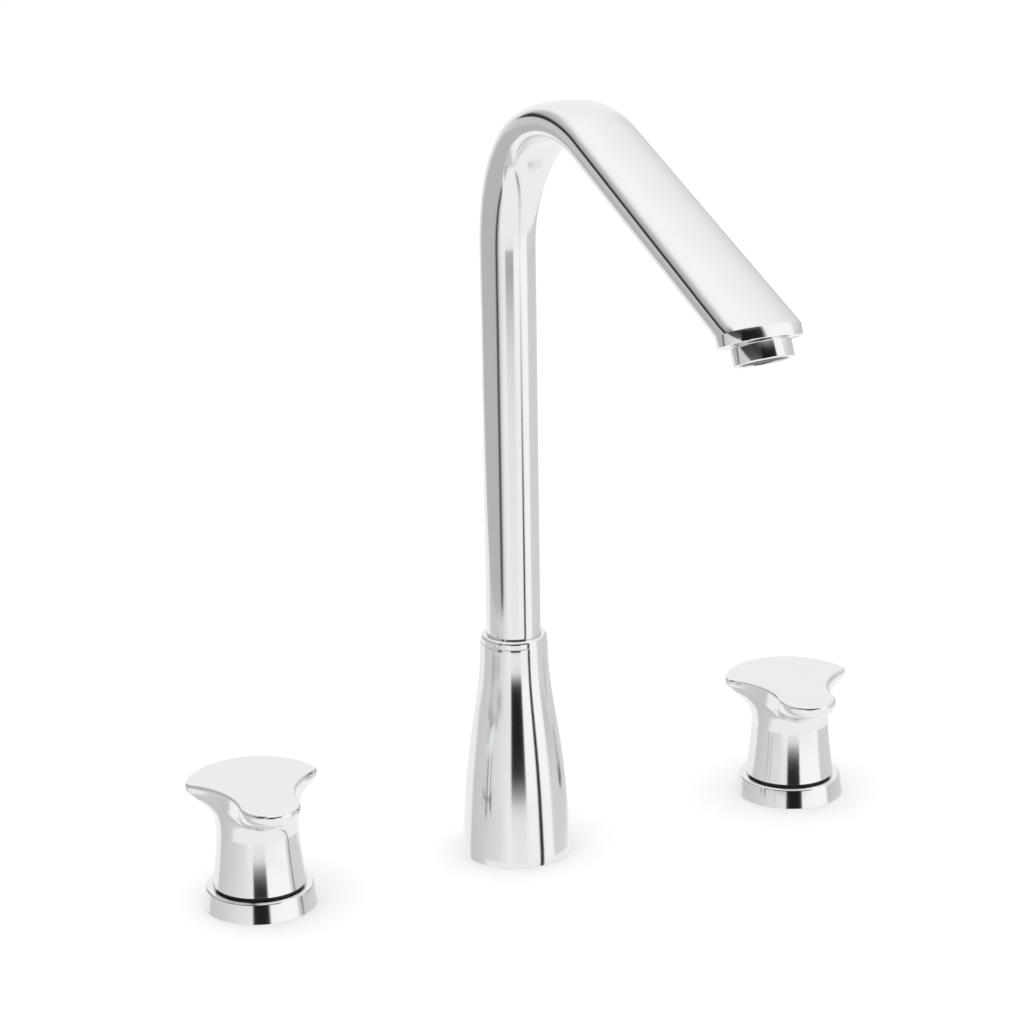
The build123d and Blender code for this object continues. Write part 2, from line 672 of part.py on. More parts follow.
def build_unit(side, base, grip):
    """All pieces of one valve: base faces the spout, grip is turned with the handle."""
    axis = Axis(base.origin, (0, 0, 1))

    with BuildPart() as deck_gasket:
        disc(base, 0, GASKET_T, VALVE_FLANGE_R, SHANK_R + SHANK_ROOM)
    save(deck_gasket, f"{side}_deck_gasket")

    with BuildPart() as valve_body:
        disc(base, SHANK_BOTTOM, GASKET_T, SHANK_R)
        disc(base, GASKET_T, GASKET_T + VALVE_FLANGE_T, VALVE_FLANGE_R)
        disc(base, GASKET_T + VALVE_FLANGE_T, BARREL_TOP, BARREL_R)
        disc(base, SHANK_BOTTOM - INLET_L, SHANK_BOTTOM, INLET_R)
        union_stub(base)
        bore(base, CHAMBER_BOTTOM, CHAMBER_TOP, CHAMBER_R)
        bore(base, CHAMBER_TOP, BARREL_TOP, CARTRIDGE_THREAD_R + THREAD_GAP)
        union_bore(base)
        disc(base, CHAMBER_BOTTOM, SEAT_Z, STANDPIPE_R)
        disc(base, SEAT_Z - SEAT_T, SEAT_Z, SEAT_R)
        bore(base, SHANK_BOTTOM - INLET_L, SEAT_Z, STANDPIPE_BORE_R)
    save(valve_body, f"{side}_valve_body")

    with BuildPart() as cartridge_body:
        skirt_edge = SEAT_Z + CARTRIDGE_SKIRT_GAP
        disc(base, skirt_edge, CHAMBER_TOP, CARTRIDGE_SKIRT_R)
        disc(base, CHAMBER_TOP, HEX_BOTTOM, CARTRIDGE_THREAD_R)
        hexagon(base, HEX_BOTTOM, HEX_TOP, CARTRIDGE_AF)
        disc(base, HEX_TOP, CARTRIDGE_NECK_TOP, CARTRIDGE_WAIST_R)
        bore(base, skirt_edge, CARTRIDGE_SHOULDER_Z, DISC_R + DISC_PLAY)
        bore(base, CARTRIDGE_SHOULDER_Z, CARTRIDGE_NECK_TOP, STEM_R + RUNNING_GAP)
        with BuildSketch(upright(base)):
            with Locations((0, DRIVE_Z + WINDOW_H / 2)):
                Rectangle(WINDOW_W, WINDOW_H)
        extrude(amount=CARTRIDGE_THREAD_R, both=True, mode=Mode.SUBTRACT)
        with BuildSketch(base.offset(skirt_edge)):
            Rectangle(2 * CARTRIDGE_SKIRT_R, KEY_W + 2 * SEAT_GAP)
        extrude(amount=MOVING_DISC_Z - skirt_edge, mode=Mode.SUBTRACT)
    save(cartridge_body, f"{side}_cartridge_body")

    with BuildPart() as cartridge_seal:
        disc(base, BARREL_TOP, HEX_BOTTOM, CARTRIDGE_SEAL_R, CARTRIDGE_THREAD_R + SEAT_GAP)
    save(cartridge_seal, f"{side}_cartridge_seal")

    with BuildPart() as seat_seal:
        disc(base, SEAT_Z, FIXED_DISC_Z, DISC_R, SEAT_SEAL_BORE_R)
    save(seat_seal, f"{side}_seat_seal")

    with BuildPart() as fixed_disc:
        with BuildSketch(base.offset(FIXED_DISC_Z)):
            Circle(DISC_R)
            Rectangle(2 * (DISC_R + KEY_DEPTH), KEY_W)
            disc_ports(90)
        extrude(amount=DISC_T)
    save(fixed_disc, f"{side}_fixed_disc")

    with BuildPart() as moving_disc:
        with BuildSketch(grip.offset(MOVING_DISC_Z)):
            Circle(DISC_R)
            disc_ports(0)
        extrude(amount=DISC_T)
        with BuildSketch(grip.offset(DRIVE_Z - DRIVE_TONGUE_H)):
            Rectangle(DRIVE_TONGUE_W + 2 * SEAT_GAP, DRIVE_TONGUE_L + 2 * SEAT_GAP)
        extrude(amount=DRIVE_TONGUE_H, mode=Mode.SUBTRACT)
    save(moving_disc, f"{side}_moving_disc")

    with BuildPart() as spindle:
        with BuildSketch(grip.offset(DRIVE_Z - DRIVE_TONGUE_H + SEAT_GAP)):
            Rectangle(DRIVE_TONGUE_W, DRIVE_TONGUE_L)
        extrude(amount=DRIVE_TONGUE_H)
        with BuildSketch(grip.offset(DRIVE_Z + SEAT_GAP)):
            Rectangle(DRIVE_BAR_W, DRIVE_TONGUE_L)
        extrude(amount=CARTRIDGE_SHOULDER_Z - STEM_COLLAR_T - DRIVE_Z)
        disc(grip, CARTRIDGE_SHOULDER_Z - STEM_COLLAR_T, CARTRIDGE_SHOULDER_Z - SEAT_GAP, STEM_COLLAR_R)
        disc(grip, CARTRIDGE_SHOULDER_Z - STEM_COLLAR_T, STEM_TOP - TOOTH_LENGTH, STEM_R)
        grooves(grip, STEM_SEAL_Z, STEM_SEAL_H + 2 * SEAT_GAP, STEM_R, STEM_SEAL_DEPTH)
        clip_z = CARTRIDGE_NECK_TOP + SEAT_GAP + CLIP_T / 2
        grooves(grip, (clip_z,), CLIP_T + 2 * SEAT_GAP, STEM_R, CLIP_DEPTH)
        with BuildSketch(grip.offset(STEM_TOP - TOOTH_LENGTH)):
            toothed(STEM_R, STEM_R - TOOTH_H)
        extrude(amount=TOOTH_LENGTH)
    save(spindle, f"{side}_spindle")

    with BuildPart() as spindle_seals:
        seal_rings(grip, STEM_SEAL_Z, STEM_R - STEM_SEAL_DEPTH + SEAT_GAP, STEM_R, STEM_SEAL_H)
    save(spindle_seals, f"{side}_spindle_seals")

    with BuildPart() as spindle_clip:
        with BuildSketch(grip.offset(clip_z - CLIP_T / 2)):
            Circle(CLIP_R)
            Circle(STEM_R - CLIP_DEPTH + SEAT_GAP, mode=Mode.SUBTRACT)
            with Locations((0, CLIP_R / 2)):
                Rectangle(CLIP_MOUTH, CLIP_R, mode=Mode.SUBTRACT)
        extrude(amount=CLIP_T)
    save(spindle_clip, f"{side}_spindle_clip")

    with BuildPart() as cover_ring:
        turned(base, (0, 0), (COVER_FOOT_R, 0), (COVER_TOP_R, COVER_H), (0, COVER_H))
        fillet(cover_ring.edges().group_by(Axis.Z)[-1], COVER_EDGE)
        slope = (COVER_FOOT_R - COVER_TOP_R) / COVER_H
        roof = COVER_H - COVER_TOP_T
        turned(
            base,
            (0, 0),
            (COVER_FOOT_R - COVER_WALL, 0),
            (COVER_FOOT_R - COVER_WALL - slope * roof, roof),
            (0, roof),
            mode=Mode.SUBTRACT,
        )
        bore(base, roof, COVER_H, BARREL_R + THREAD_GAP)
    save(cover_ring, f"{side}_cover_ring")

    with BuildPart() as glide_ring:
        disc(base, COVER_H, COVER_H + GLIDE_T, GLIDE_R, BARREL_R + THREAD_GAP)
    save(glide_ring, f"{side}_glide_ring")

    plate_z = HANDLE_TOP - PLATE_T
    with BuildPart() as handle:
        extrude(handle_section(grip.offset(plate_z), NECK_R, 1.0, 1.0), amount=PLATE_T)
        fillet(handle.edges().group_by(Axis.Z)[-1], PLATE_EDGE)
        stations = (*HEAD_FLARE, (plate_z - WAIST_Z, 1.0, 1.0))
        loft([handle_section(grip.offset(WAIST_Z + z), NECK_R, *shares) for z, *shares in stations])
        with BuildSketch(upright(grip)):
            with BuildLine():
                side_foot = (SKIRT_FOOT_R, SKIRT_BOTTOM)
                side_middle = ((SKIRT_FOOT_R + WAIST_R) / 2 - SKIRT_BOW, (SKIRT_BOTTOM + WAIST_Z) / 2)
                ThreePointArc(side_foot, side_middle, (WAIST_R, WAIST_Z))
                Polyline((WAIST_R, WAIST_Z), (0, WAIST_Z), (0, SKIRT_BOTTOM), side_foot)
            make_face()
        revolve(axis=axis)
        turned(
            grip,
            (0, SKIRT_BOTTOM),
            (SKIRT_FOOT_R - SKIRT_WALL, SKIRT_BOTTOM),
            (WAIST_R - SKIRT_WALL, WAIST_Z),
            (WAIST_R - SKIRT_WALL, CAVITY_TOP),
            (0, CAVITY_TOP),
            mode=Mode.SUBTRACT,
        )
        disc(grip, BOSS_BOTTOM, CAVITY_TOP, BOSS_R)
        with BuildSketch(grip.offset(BOSS_BOTTOM)):
            with Locations((0, (BOSS_R + WAIST_R - SKIRT_WALL / 2) / 2)):
                Rectangle(RIB_W, WAIST_R - SKIRT_WALL / 2 - BOSS_R + 2 * THREAD_GAP)
        extrude(amount=CAVITY_TOP - BOSS_BOTTOM)
        bore(grip, BOSS_BOTTOM, INSERT_TOP, INSERT_R + SEAT_GAP)
        back = Plane(origin=grip.origin, x_dir=grip.y_dir, z_dir=(0, 0, 1))
        rod(back, INSERT_R, INSERT_R + SKIRT_FOOT_R, SCREW_Z, SCREW_HOLE_R, mode=Mode.SUBTRACT)
    save(handle, f"{side}_handle")

    with BuildPart() as handle_insert:
        disc(grip, INSERT_BOTTOM, INSERT_TOP - SEAT_GAP, INSERT_R)
        with BuildSketch(grip.offset(INSERT_BOTTOM)):
            toothed(STEM_R + SEAT_GAP, STEM_R - TOOTH_H + SEAT_GAP)
        extrude(amount=INSERT_TOP - INSERT_ROOF - INSERT_BOTTOM, mode=Mode.SUBTRACT)
    save(handle_insert, f"{side}_handle_insert")

    with BuildPart() as handle_screw:
        grub_screw(back, INSERT_R + SEAT_GAP, SCREW_Z, SCREW_L, LOCK_TIP_L, LOCK_TIP_R)
    save(handle_screw, f"{side}_handle_screw")


def turned_dir(angle):
    return (cos(radians(angle)), sin(radians(angle)), 0)


build_unit("left", level(-LEFT_OFFSET), level(-LEFT_OFFSET, turned_dir(LEFT_TURN)))
build_unit("right", level(RIGHT_OFFSET, (-1, 0, 0)), level(RIGHT_OFFSET, turned_dir(RIGHT_TURN)))
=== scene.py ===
"""Two handle kitchen faucet, dressed for its picture.

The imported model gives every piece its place. This script models the chromed skins again, smooth
and round, gives every piece its finish, and sets the studio: a white floor, soft light, and a
cloth tent and flags whose reflections draw the chrome's edges. Sizes are in millimetres here and
in metres in Blender.
"""

import json
from math import acos, cos, pi, radians, sin, sqrt, tan

import bpy
import numpy as np
from bpy.props import FloatProperty, FloatVectorProperty, IntProperty, PointerProperty
from mathutils import Matrix, Vector


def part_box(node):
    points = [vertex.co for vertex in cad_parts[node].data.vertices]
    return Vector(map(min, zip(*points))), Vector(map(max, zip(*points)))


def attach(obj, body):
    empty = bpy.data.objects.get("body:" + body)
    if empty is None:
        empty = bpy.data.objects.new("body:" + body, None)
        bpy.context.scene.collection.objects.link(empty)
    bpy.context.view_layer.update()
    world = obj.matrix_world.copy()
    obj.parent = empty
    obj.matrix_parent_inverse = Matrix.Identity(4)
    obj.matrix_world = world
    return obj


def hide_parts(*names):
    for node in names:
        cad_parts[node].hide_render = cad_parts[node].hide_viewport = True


bl_info = {
    "name": "Two Handle Kitchen Faucet",
    "version": (1, 0, 0),
    "blender": (4, 5, 0),
    "location": "3D View > Sidebar > Faucet",
    "description": "Chromed skins, finishes and studio of a two handle kitchen faucet",
    "category": "Object",
}

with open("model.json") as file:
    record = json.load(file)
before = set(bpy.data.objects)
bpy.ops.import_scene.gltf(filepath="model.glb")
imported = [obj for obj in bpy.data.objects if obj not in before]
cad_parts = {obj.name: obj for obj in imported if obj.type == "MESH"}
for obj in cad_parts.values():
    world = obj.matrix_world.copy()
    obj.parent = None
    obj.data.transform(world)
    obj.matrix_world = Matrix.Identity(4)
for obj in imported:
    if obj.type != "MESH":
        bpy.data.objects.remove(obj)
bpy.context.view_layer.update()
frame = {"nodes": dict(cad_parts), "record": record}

MM = 0.001
MERGE_DISTANCE = 1e-6  # metres
SMOOTH_ANGLE = 28.0  # sharper edges stay sharp
EDGE_MIDDLE = 0.3  # share of an edge's rounding that its middle point stands back

# ------------------------------------------------------------------ places of the three units
UNITS = {"left": Vector((-130.0, 0.0, 0.0)), "right": Vector((150.0, 0.0, 0.0))}
TURNS = {"left": -9.0, "right": -15.0}

# ------------------------------------------------------------------ spout tube
ACROSS = Vector((1, 0, 0))
COLUMN_R = 12.5
COLUMN_FOOT = 88.05
COLUMN_SECTIONS = 24
ARCH_START = 288.0
ARCH_R = 65.5
LEG_DROP = 23.6
LEG_LENGTH = 134.2
LEG_HALF_W = 15.7
LEG_HALF_T = 7.95
LEG_CORNER = 0.78
LEG_SECTIONS = 28
FLARE_TO = 76.0
TIP_HALF_W = 17.1
TIP_HALF_T = 8.3
TIP_CORNER = 0.72
TIP_TILT = 22.4
TIP_SHOULDER = 0.3  # depth at which the tip is widest
TIP_SWELL = 0.02
TIP_LIP = 4.8
TIP_EDGE = 0.45
NOZZLE_R = 10.9
NOZZLE_L = 4.0
NOZZLE_BORE_R = 8.6
NOZZLE_RECESS = 2.0  # how far the bore goes up past the lip
ROUND_CORNER = 4.0 / 3.0 * (sqrt(2.0) - 1.0)
ARCH_SWEEP = 90.0 + LEG_DROP

# ------------------------------------------------------------------ bell and collar
BELL_SIDE = ((0.0, 25.6), (44.0, 22.3), (71.0, 18.5), (88.0, 16.3), (103.7, 15.6))
BELL_SECTIONS = 48
BELL_WALL = 2.0
COLLAR_R = 15.3
COLLAR_H = 3.4
COLLAR_BORE_R = 12.62
COLLAR_DISH = 0.15  # fall of the top toward the column
COLLAR_SPIGOT_L = 5.0
COLLAR_SPIGOT_WALL = 1.2

# ------------------------------------------------------------------ cover rings
COVER_FOOT_R = 26.0
COVER_TOP_R = 24.4
COVER_H = 9.4
COVER_TOP_T = 2.5
COVER_WALL = 1.8
COVER_BORE_R = 13.6
COVER_FOOT_EDGE = 0.2
COVER_FOOT_LEAN = 0.03

# ------------------------------------------------------------------ aerator ring
AERATOR_R = 11.9
AERATOR_L = 7.3
AERATOR_BORE_R = 9.5
AERATOR_BORE_EDGE = 0.3
AERATOR_LIP_T = 1.8
AERATOR_GAP = 0.5  # below the tip's lip
AERATOR_ROOM = 0.06  # round the nozzle

# ------------------------------------------------------------------ handles
SKIRT_FOOT_Z = 10.5
SKIRT_FOOT_R = 21.3
SKIRT_FOOT_EDGE = 0.25
SKIRT_FOOT_LEAN = 0.05
SKIRT_FOOT_RISE = 0.2
SKIRT_BOW = 0.35
SKIRT_WALL = 2.9
SKIRT_SECTIONS = 24
WAIST_R = 18.6
WAIST_Z = 36.0
CAVITY_TOP = 46.0
HANDLE_TOP = 58.0
PLATE_T = 2.8
PLATE_EDGE_SECTIONS = 6
PLATE_MIDDLE = Vector((0, -2.0))
PLATE_SHARES = (0.85, 0.6, 0.3, 0.0)  # rings of the flat top, from its edge to its middle
# height above the waist, share of their full reach that wings and lobe have there
HEAD_FLARE = (
    (0.0, 0.0, 0.0),
    (4.0, 0.03, 0.03),
    (8.0, 0.13, 0.12),
    (12.0, 0.40, 0.42),
    (15.6, 0.72, 0.88),
)
HEAD_END_SLOPE = 0.6  # share of the last station's slope that is left under the plate
WING_HALF_SPAN = 30.6
WING_BACK = 7.2
WING_TIP_TRIM = 2.2
BACK_REACH = 33.4
LOBE_REACH = 41.7
LOBE_R = 13.6
FLANK_R = 38.0
PLAN_STEPS = (40, 30, 8, 60)  # vertices along lobe, flank, wing tip and back
SCREW_R = 2.55
SCREW_Z = 33.5
SCREW_STEPS = 48
SCREW_HOLE_Y = 20.0  # middle of the hole's length
SCREW_HOLE_L = 12.0

# ------------------------------------------------------------------ studio, in metres
KEY_PLACE = (-0.5, -0.3, 1.6)
KEY_BACK = (-0.5, -0.3, 1.45)  # where the lamp's back points
KEY_SIZE = 1.6
TENT_RADIUS = 40.0
TENT_STRENGTH = 1.06
BELOW_TOP = -0.001  # what reaches lower is under the worktop and isn't mirrored

# ------------------------------------------------------------------ camera, fitted to the photo
CAMERA_TURN = -26.31
CAMERA_RISE = 16.83
CAMERA_DISTANCE = 1367.2
CAMERA_TARGET_Z = 165.0
CAMERA_SHIFT = 0.1
CAMERA_ROLL = -0.9
CAMERA_FOCAL = 105.47
CAMERA_FILM = 36.0
CAMERA_CLIP = 20.0  # metres


class FaucetFinishSettings(bpy.types.PropertyGroup):
    """Colours of the finishes."""

    chrome: FloatVectorProperty(
        name="Chrome",
        description="Colour of the chrome plate",
        default=(0.93, 0.933, 0.936),
        subtype="COLOR",
    )
    chrome_roughness: FloatProperty(
        name="Chrome roughness",
        description="Roughness of the polished plate",
        default=0.035,
        min=0,
        max=1,
    )
    brass: FloatVectorProperty(
        name="Brass",
        description="Colour of the bare brass",
        default=(0.72, 0.50, 0.22),
        subtype="COLOR",
    )
    copper: FloatVectorProperty(
        name="Copper",
        description="Colour of the drawn tubes",
        default=(0.78, 0.40, 0.26),
        subtype="COLOR",
    )
    steel: FloatVectorProperty(
        name="Steel",
        description="Colour of the plain steel",
        default=(0.56, 0.57, 0.58),
        subtype="COLOR",
    )
    rubber: FloatVectorProperty(
        name="Rubber",
        description="Colour of gaskets and seals",
        default=(0.022, 0.022, 0.025),
        subtype="COLOR",
    )
    dark_plastic: FloatVectorProperty(
        name="Dark plastic",
        description="Colour of the glide rings",
        default=(0.03, 0.03, 0.034),
        subtype="COLOR",
    )
    white_plastic: FloatVectorProperty(
        name="White plastic",
        description="Colour of the handles' sockets",
        default=(0.78, 0.78, 0.75),
        subtype="COLOR",
    )
    aerator_plastic: FloatVectorProperty(
        name="Aerator plastic",
        description="Colour of the flow straightener",
        default=(0.11, 0.115, 0.12),
        subtype="COLOR",
    )
    ceramic: FloatVectorProperty(
        name="Ceramic",
        description="Colour of the valve discs",
        default=(0.86, 0.84, 0.78),
        subtype="COLOR",
    )


class FaucetShellSettings(bpy.types.PropertyGroup):
    """How round the edges of the chromed skins are, and how finely they are made."""

    plate_edge: FloatProperty(
        name="Plate edge",
        description="Rounding of the rim of the handles' plates",
        default=0.0013,
        unit="LENGTH",
        precision=5,
    )
    bell_edge: FloatProperty(
        name="Bell edge",
        description="Rounding of the bell's foot and top",
        default=0.0005,
        unit="LENGTH",
        precision=5,
    )
    collar_edge: FloatProperty(
        name="Collar edge",
        description="Rounding of the collar on the bell",
        default=0.0015,
        unit="LENGTH",
        precision=5,
    )
    cover_edge: FloatProperty(
        name="Cover ring edge",
        description="Rounding of the cover rings' shoulders",
        default=0.0009,
        unit="LENGTH",
        precision=5,
    )
    aerator_edge: FloatProperty(
        name="Aerator edge",
        description="Rounding of the aerator ring's rims",
        default=0.0005,
        unit="LENGTH",
        precision=5,
    )
    round_steps: IntProperty(
        name="Steps round",
        description="Vertices round a turned piece",
        default=128,
        min=24,
        max=256,
    )
    arch_steps: IntProperty(
        name="Steps along the arch",
        description="Sections along the spout's arch",
        default=64,
        min=16,
        max=128,
    )
    head_steps: IntProperty(
        name="Steps up the handle",
        description="Sections from the handle's waist to its plate",
        default=40,
        min=12,
        max=80,
    )


class FaucetStageSettings(bpy.types.PropertyGroup):
    """Floor and light of the studio."""

    floor_size: FloatProperty(
        name="Floor size",
        description="Side of the white floor",
        default=30.0,
        unit="LENGTH",
    )
    key_power: FloatProperty(
        name="Key light",
        description="Power of the soft light overhead",
        default=5.0,
        unit="POWER",
    )
    world_strength: FloatProperty(
        name="Room light",
        description="Strength of the white room's light",
        default=1.03,
        min=0,
    )


# ================================================================== modelling helpers
def fresh():
    """Leave edit mode and select nothing."""
    if bpy.context.object and bpy.context.object.mode != "OBJECT":
        bpy.ops.object.mode_set(mode="OBJECT")
    bpy.ops.object.select_all(action="DESELECT")


def close_shell(piece):
    """Merge seams and poles, point faces outward and shade by angle."""
    bpy.ops.object.mode_set(mode="EDIT")
    bpy.ops.mesh.select_all(action="SELECT")
    bpy.ops.mesh.remove_doubles(threshold=MERGE_DISTANCE)
    bpy.ops.mesh.normals_make_consistent(inside=False)
    bpy.ops.object.mode_set(mode="OBJECT")
    bpy.ops.object.shade_smooth_by_angle(angle=radians(SMOOTH_ANGLE))
    return piece


def skin(name, rings):
    """Grid wrapped onto rings of points, closed round each ring."""
    fresh()
    bpy.ops.mesh.primitive_grid_add(
        x_subdivisions=len(rings[0]), y_subdivisions=len(rings) - 1, size=1
    )
    piece = bpy.context.object
    piece.name = piece.data.name = name
    points = [Vector(p) * MM for ring in rings for p in (*ring, ring[0])]
    for vert, place in zip(piece.data.vertices, points):
        vert.co = place
    return close_shell(piece)


def turned(name, profile, steps):
    """Closed profile of (radius, height) corners, swept round z: a circle extruded and scaled."""
    fresh()
    radius, height = profile[0]
    bpy.ops.mesh.primitive_circle_add(
        vertices=steps, radius=radius * MM, location=(0, 0, height * MM)
    )
    piece = bpy.context.object
    piece.name = piece.data.name = name
    bpy.ops.object.transform_apply(location=True)
    bpy.ops.object.mode_set(mode="EDIT")
    bpy.ops.mesh.select_all(action="SELECT")
    for next_radius, next_height in (*profile[1:], profile[0]):
        bpy.ops.mesh.extrude_edges_move(
            TRANSFORM_OT_translate={"value": (0, 0, (next_height - height) * MM)}
        )
        share = next_radius / radius
        bpy.ops.transform.resize(value=(share, share, 1), center_override=(0, 0, 0))
        radius, height = next_radius, next_height
    return close_shell(piece)


def twin(context, first, name):
    """Copy of a finished piece, with a mesh of its own."""
    second = first.copy()
    second.data = first.data.copy()
    second.name = second.data.name = name
    context.collection.objects.link(second)
    return second


def dress(piece, body, *nodes):
    """Chrome a new skin, let it ride on its body and stand for its CAD nodes."""
    piece.data.materials.clear()
    piece.data.materials.append(bpy.data.materials["chrome"])
    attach(piece, body)
    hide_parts(*nodes)


def rounded(corner, before, after, radius, steps):
    """Points of a fillet at a profile's corner."""
    corner, before, after = Vector(corner), Vector(before), Vector(after)
    a = (before - corner).normalized()
    b = (after - corner).normalized()
    half = acos(max(-1.0, min(1.0, a.dot(b)))) / 2
    centre = corner + (a + b).normalized() * radius / sin(half)
    start = corner + a * radius / tan(half)
    end = corner + b * radius / tan(half)
    u, v = start - centre, end - centre
    points = []
    for i in range(steps + 1):
        t = i / steps
        along = u * (1 - t) + v * t
        points.append(tuple(centre + along.normalized() * radius))
    return points


def cubic(t, span, start, end, start_slope, end_slope):
    """Value t of the way along a span, between two values with their slopes."""
    return (
        (1 + 2 * t) * (1 - t) ** 2 * start
        + t * (1 - t) ** 2 * span * start_slope
        + t * t * (3 - 2 * t) * end
        + t * t * (t - 1) * span * end_slope
    )


def spline_side(knots, steps):
    """Radius and height up a side, a smooth cubic through (height, radius) knots."""
    z = np.array([k[0] for k in knots])
    r = np.array([k[1] for k in knots])
    h = np.diff(z)
    n = len(z)
    matrix = np.zeros((n, n))
    right = np.zeros(n)
    matrix[0, :2] = 2, 1
    matrix[-1, -2:] = 1, 2
    right[0] = 3 * (r[1] - r[0]) / h[0]
    right[-1] = 3 * (r[-1] - r[-2]) / h[-1]
    for i in range(1, n - 1):
        matrix[i, i - 1] = h[i]
        matrix[i, i] = 2 * (h[i - 1] + h[i])
        matrix[i, i + 1] = h[i - 1]
        below = h[i] * (r[i] - r[i - 1]) / h[i - 1]
        above = h[i - 1] * (r[i + 1] - r[i]) / h[i]
        right[i] = 3 * (below + above)
    slope = np.linalg.solve(matrix, right)
    side = []
    for height in np.linspace(z[0], z[-1], steps):
        i = min(int(np.searchsorted(z, height, side="right")) - 1, n - 2)
        t = (height - z[i]) / h[i]
        radius = cubic(t, h[i], r[i], r[i + 1], slope[i], slope[i + 1])
        side.append((float(radius), float(height)))
    return side


def smooth_share(knots, column, height):
    """Share at a height, a monotone cubic through the stations."""
    z = [k[0] for k in knots]
    v = [k[column] for k in knots]
    if height <= z[0]:
        return v[0]
    n = len(z)
    step = [(v[i + 1] - v[i]) / (z[i + 1] - z[i]) for i in range(n - 1)]
    slope = [0.0] * n
    for i in range(1, n - 1):
        if step[i - 1] * step[i] > 0:
            slope[i] = 2 * step[i - 1] * step[i] / (step[i - 1] + step[i])
    slope[-1] = step[-1] * HEAD_END_SLOPE
    i = max(j for j in range(n - 1) if z[j] <= height)
    h = z[i + 1] - z[i]
    return cubic((height - z[i]) / h, h, v[i], v[i + 1], slope[i], slope[i + 1])


# ================================================================== spout tube
def bend_frame(angle):
    """Centre, outward and forward directions after so many degrees of arch."""
    a = radians(angle)
    centre = Vector((0, -ARCH_R * (1 - cos(a)), ARCH_START + ARCH_R * sin(a)))
    forward = Vector((0, -sin(a), cos(a)))
    return centre, forward.cross(ACROSS), forward


def spout_mouth():
    """Middle of the leg's end, and the nozzle's downward and outward directions."""
    centre, _, forward = bend_frame(ARCH_SWEEP)
    tilt = radians(TIP_TILT)
    down = Vector((0, -sin(tilt), -cos(tilt)))
    return centre + forward * LEG_LENGTH, down, down.cross(ACROSS)


def oval(centre, out, half_w, half_t, corner, steps):
    """Ring of four equal quarter curves, from round to flattened."""
    ring = []
    quarter = steps // 4
    for i in range(steps):
        turn, t = i // quarter, (i % quarter) / quarter
        curve = [Vector((1, 0)), Vector((1, corner)), Vector((corner, 1)), Vector((0, 1))]
        if turn % 2:
            curve.reverse()
        side, by_side, by_top, top = curve
        p = side * (1 - t) ** 3 + by_side * 3 * t * (1 - t) ** 2
        p = p + by_top * 3 * t * t * (1 - t) + top * t**3
        sx = 1 if turn in (0, 3) else -1
        sy = 1 if turn in (0, 1) else -1
        ring.append(centre + ACROSS * (p.x * half_w * sx) + out * (p.y * half_t * sy))
    return ring


def spout_rings(steps, arch_steps):
    """Rings of the spout from its closed foot round the arch, down the leg and into its mouth."""

    def section(angle):
        t = min(angle / FLARE_TO, 1.0)
        flat = t * t * (3 - 2 * t)
        half_w = COLUMN_R + (LEG_HALF_W - COLUMN_R) * flat
        half_t = COLUMN_R + (LEG_HALF_T - COLUMN_R) * flat
        return half_w, half_t, ROUND_CORNER + (LEG_CORNER - ROUND_CORNER) * flat

    rings = [[Vector((0, 0, COLUMN_FOOT))] * steps]
    out = bend_frame(0)[1]
    for i in range(COLUMN_SECTIONS):
        lift = COLUMN_FOOT + (ARCH_START - COLUMN_FOOT) * i / COLUMN_SECTIONS
        rings.append(oval(Vector((0, 0, lift)), out, *section(0), steps))
    for i in range(arch_steps + 1):
        angle = ARCH_SWEEP * i / arch_steps
        centre, out, _ = bend_frame(angle)
        rings.append(oval(centre, out, *section(angle), steps))

    shoulder, down, tip_out = spout_mouth()
    tip_half_t = TIP_HALF_T / sin(radians(LEG_DROP + TIP_TILT))
    start = rings[-1]
    end = oval(shoulder, tip_out, TIP_HALF_W, tip_half_t, TIP_CORNER, steps)
    for i in range(1, LEG_SECTIONS + 1):
        rings.append([a.lerp(b, i / LEG_SECTIONS) for a, b in zip(start, end)])

    for depth, inset in (
        (TIP_SHOULDER, -TIP_SWELL),
        (TIP_LIP - TIP_EDGE, 0.0),
        (TIP_LIP - TIP_EDGE * EDGE_MIDDLE, TIP_EDGE * EDGE_MIDDLE),
        (TIP_LIP, TIP_EDGE),
    ):
        size = (TIP_HALF_W - inset, tip_half_t - inset, TIP_CORNER)
        rings.append(oval(shoulder + down * depth, tip_out, *size, steps))
    for depth, radius in (
        (TIP_LIP, NOZZLE_R),
        (TIP_LIP + NOZZLE_L, NOZZLE_R),
        (TIP_LIP + NOZZLE_L, NOZZLE_BORE_R),
        (TIP_LIP - NOZZLE_RECESS, NOZZLE_BORE_R),
        (TIP_LIP - NOZZLE_RECESS, 0.0),
    ):
        size = (radius, radius, ROUND_CORNER)
        rings.append(oval(shoulder + down * depth, tip_out, *size, steps))
    return rings


class FAUCET_OT_spout(bpy.types.Operator):
    """Model the spout tube: round column, flattening arch, straight leg and lipped mouth."""

    bl_idname = "faucet.spout"
    bl_label = "Spout Tube"

    def execute(self, context):
        shell = context.scene.faucet_shell
        piece = skin("spout_shell", spout_rings(shell.round_steps, shell.arch_steps))
        dress(piece, "spout", "spout_tube")
        return {"FINISHED"}


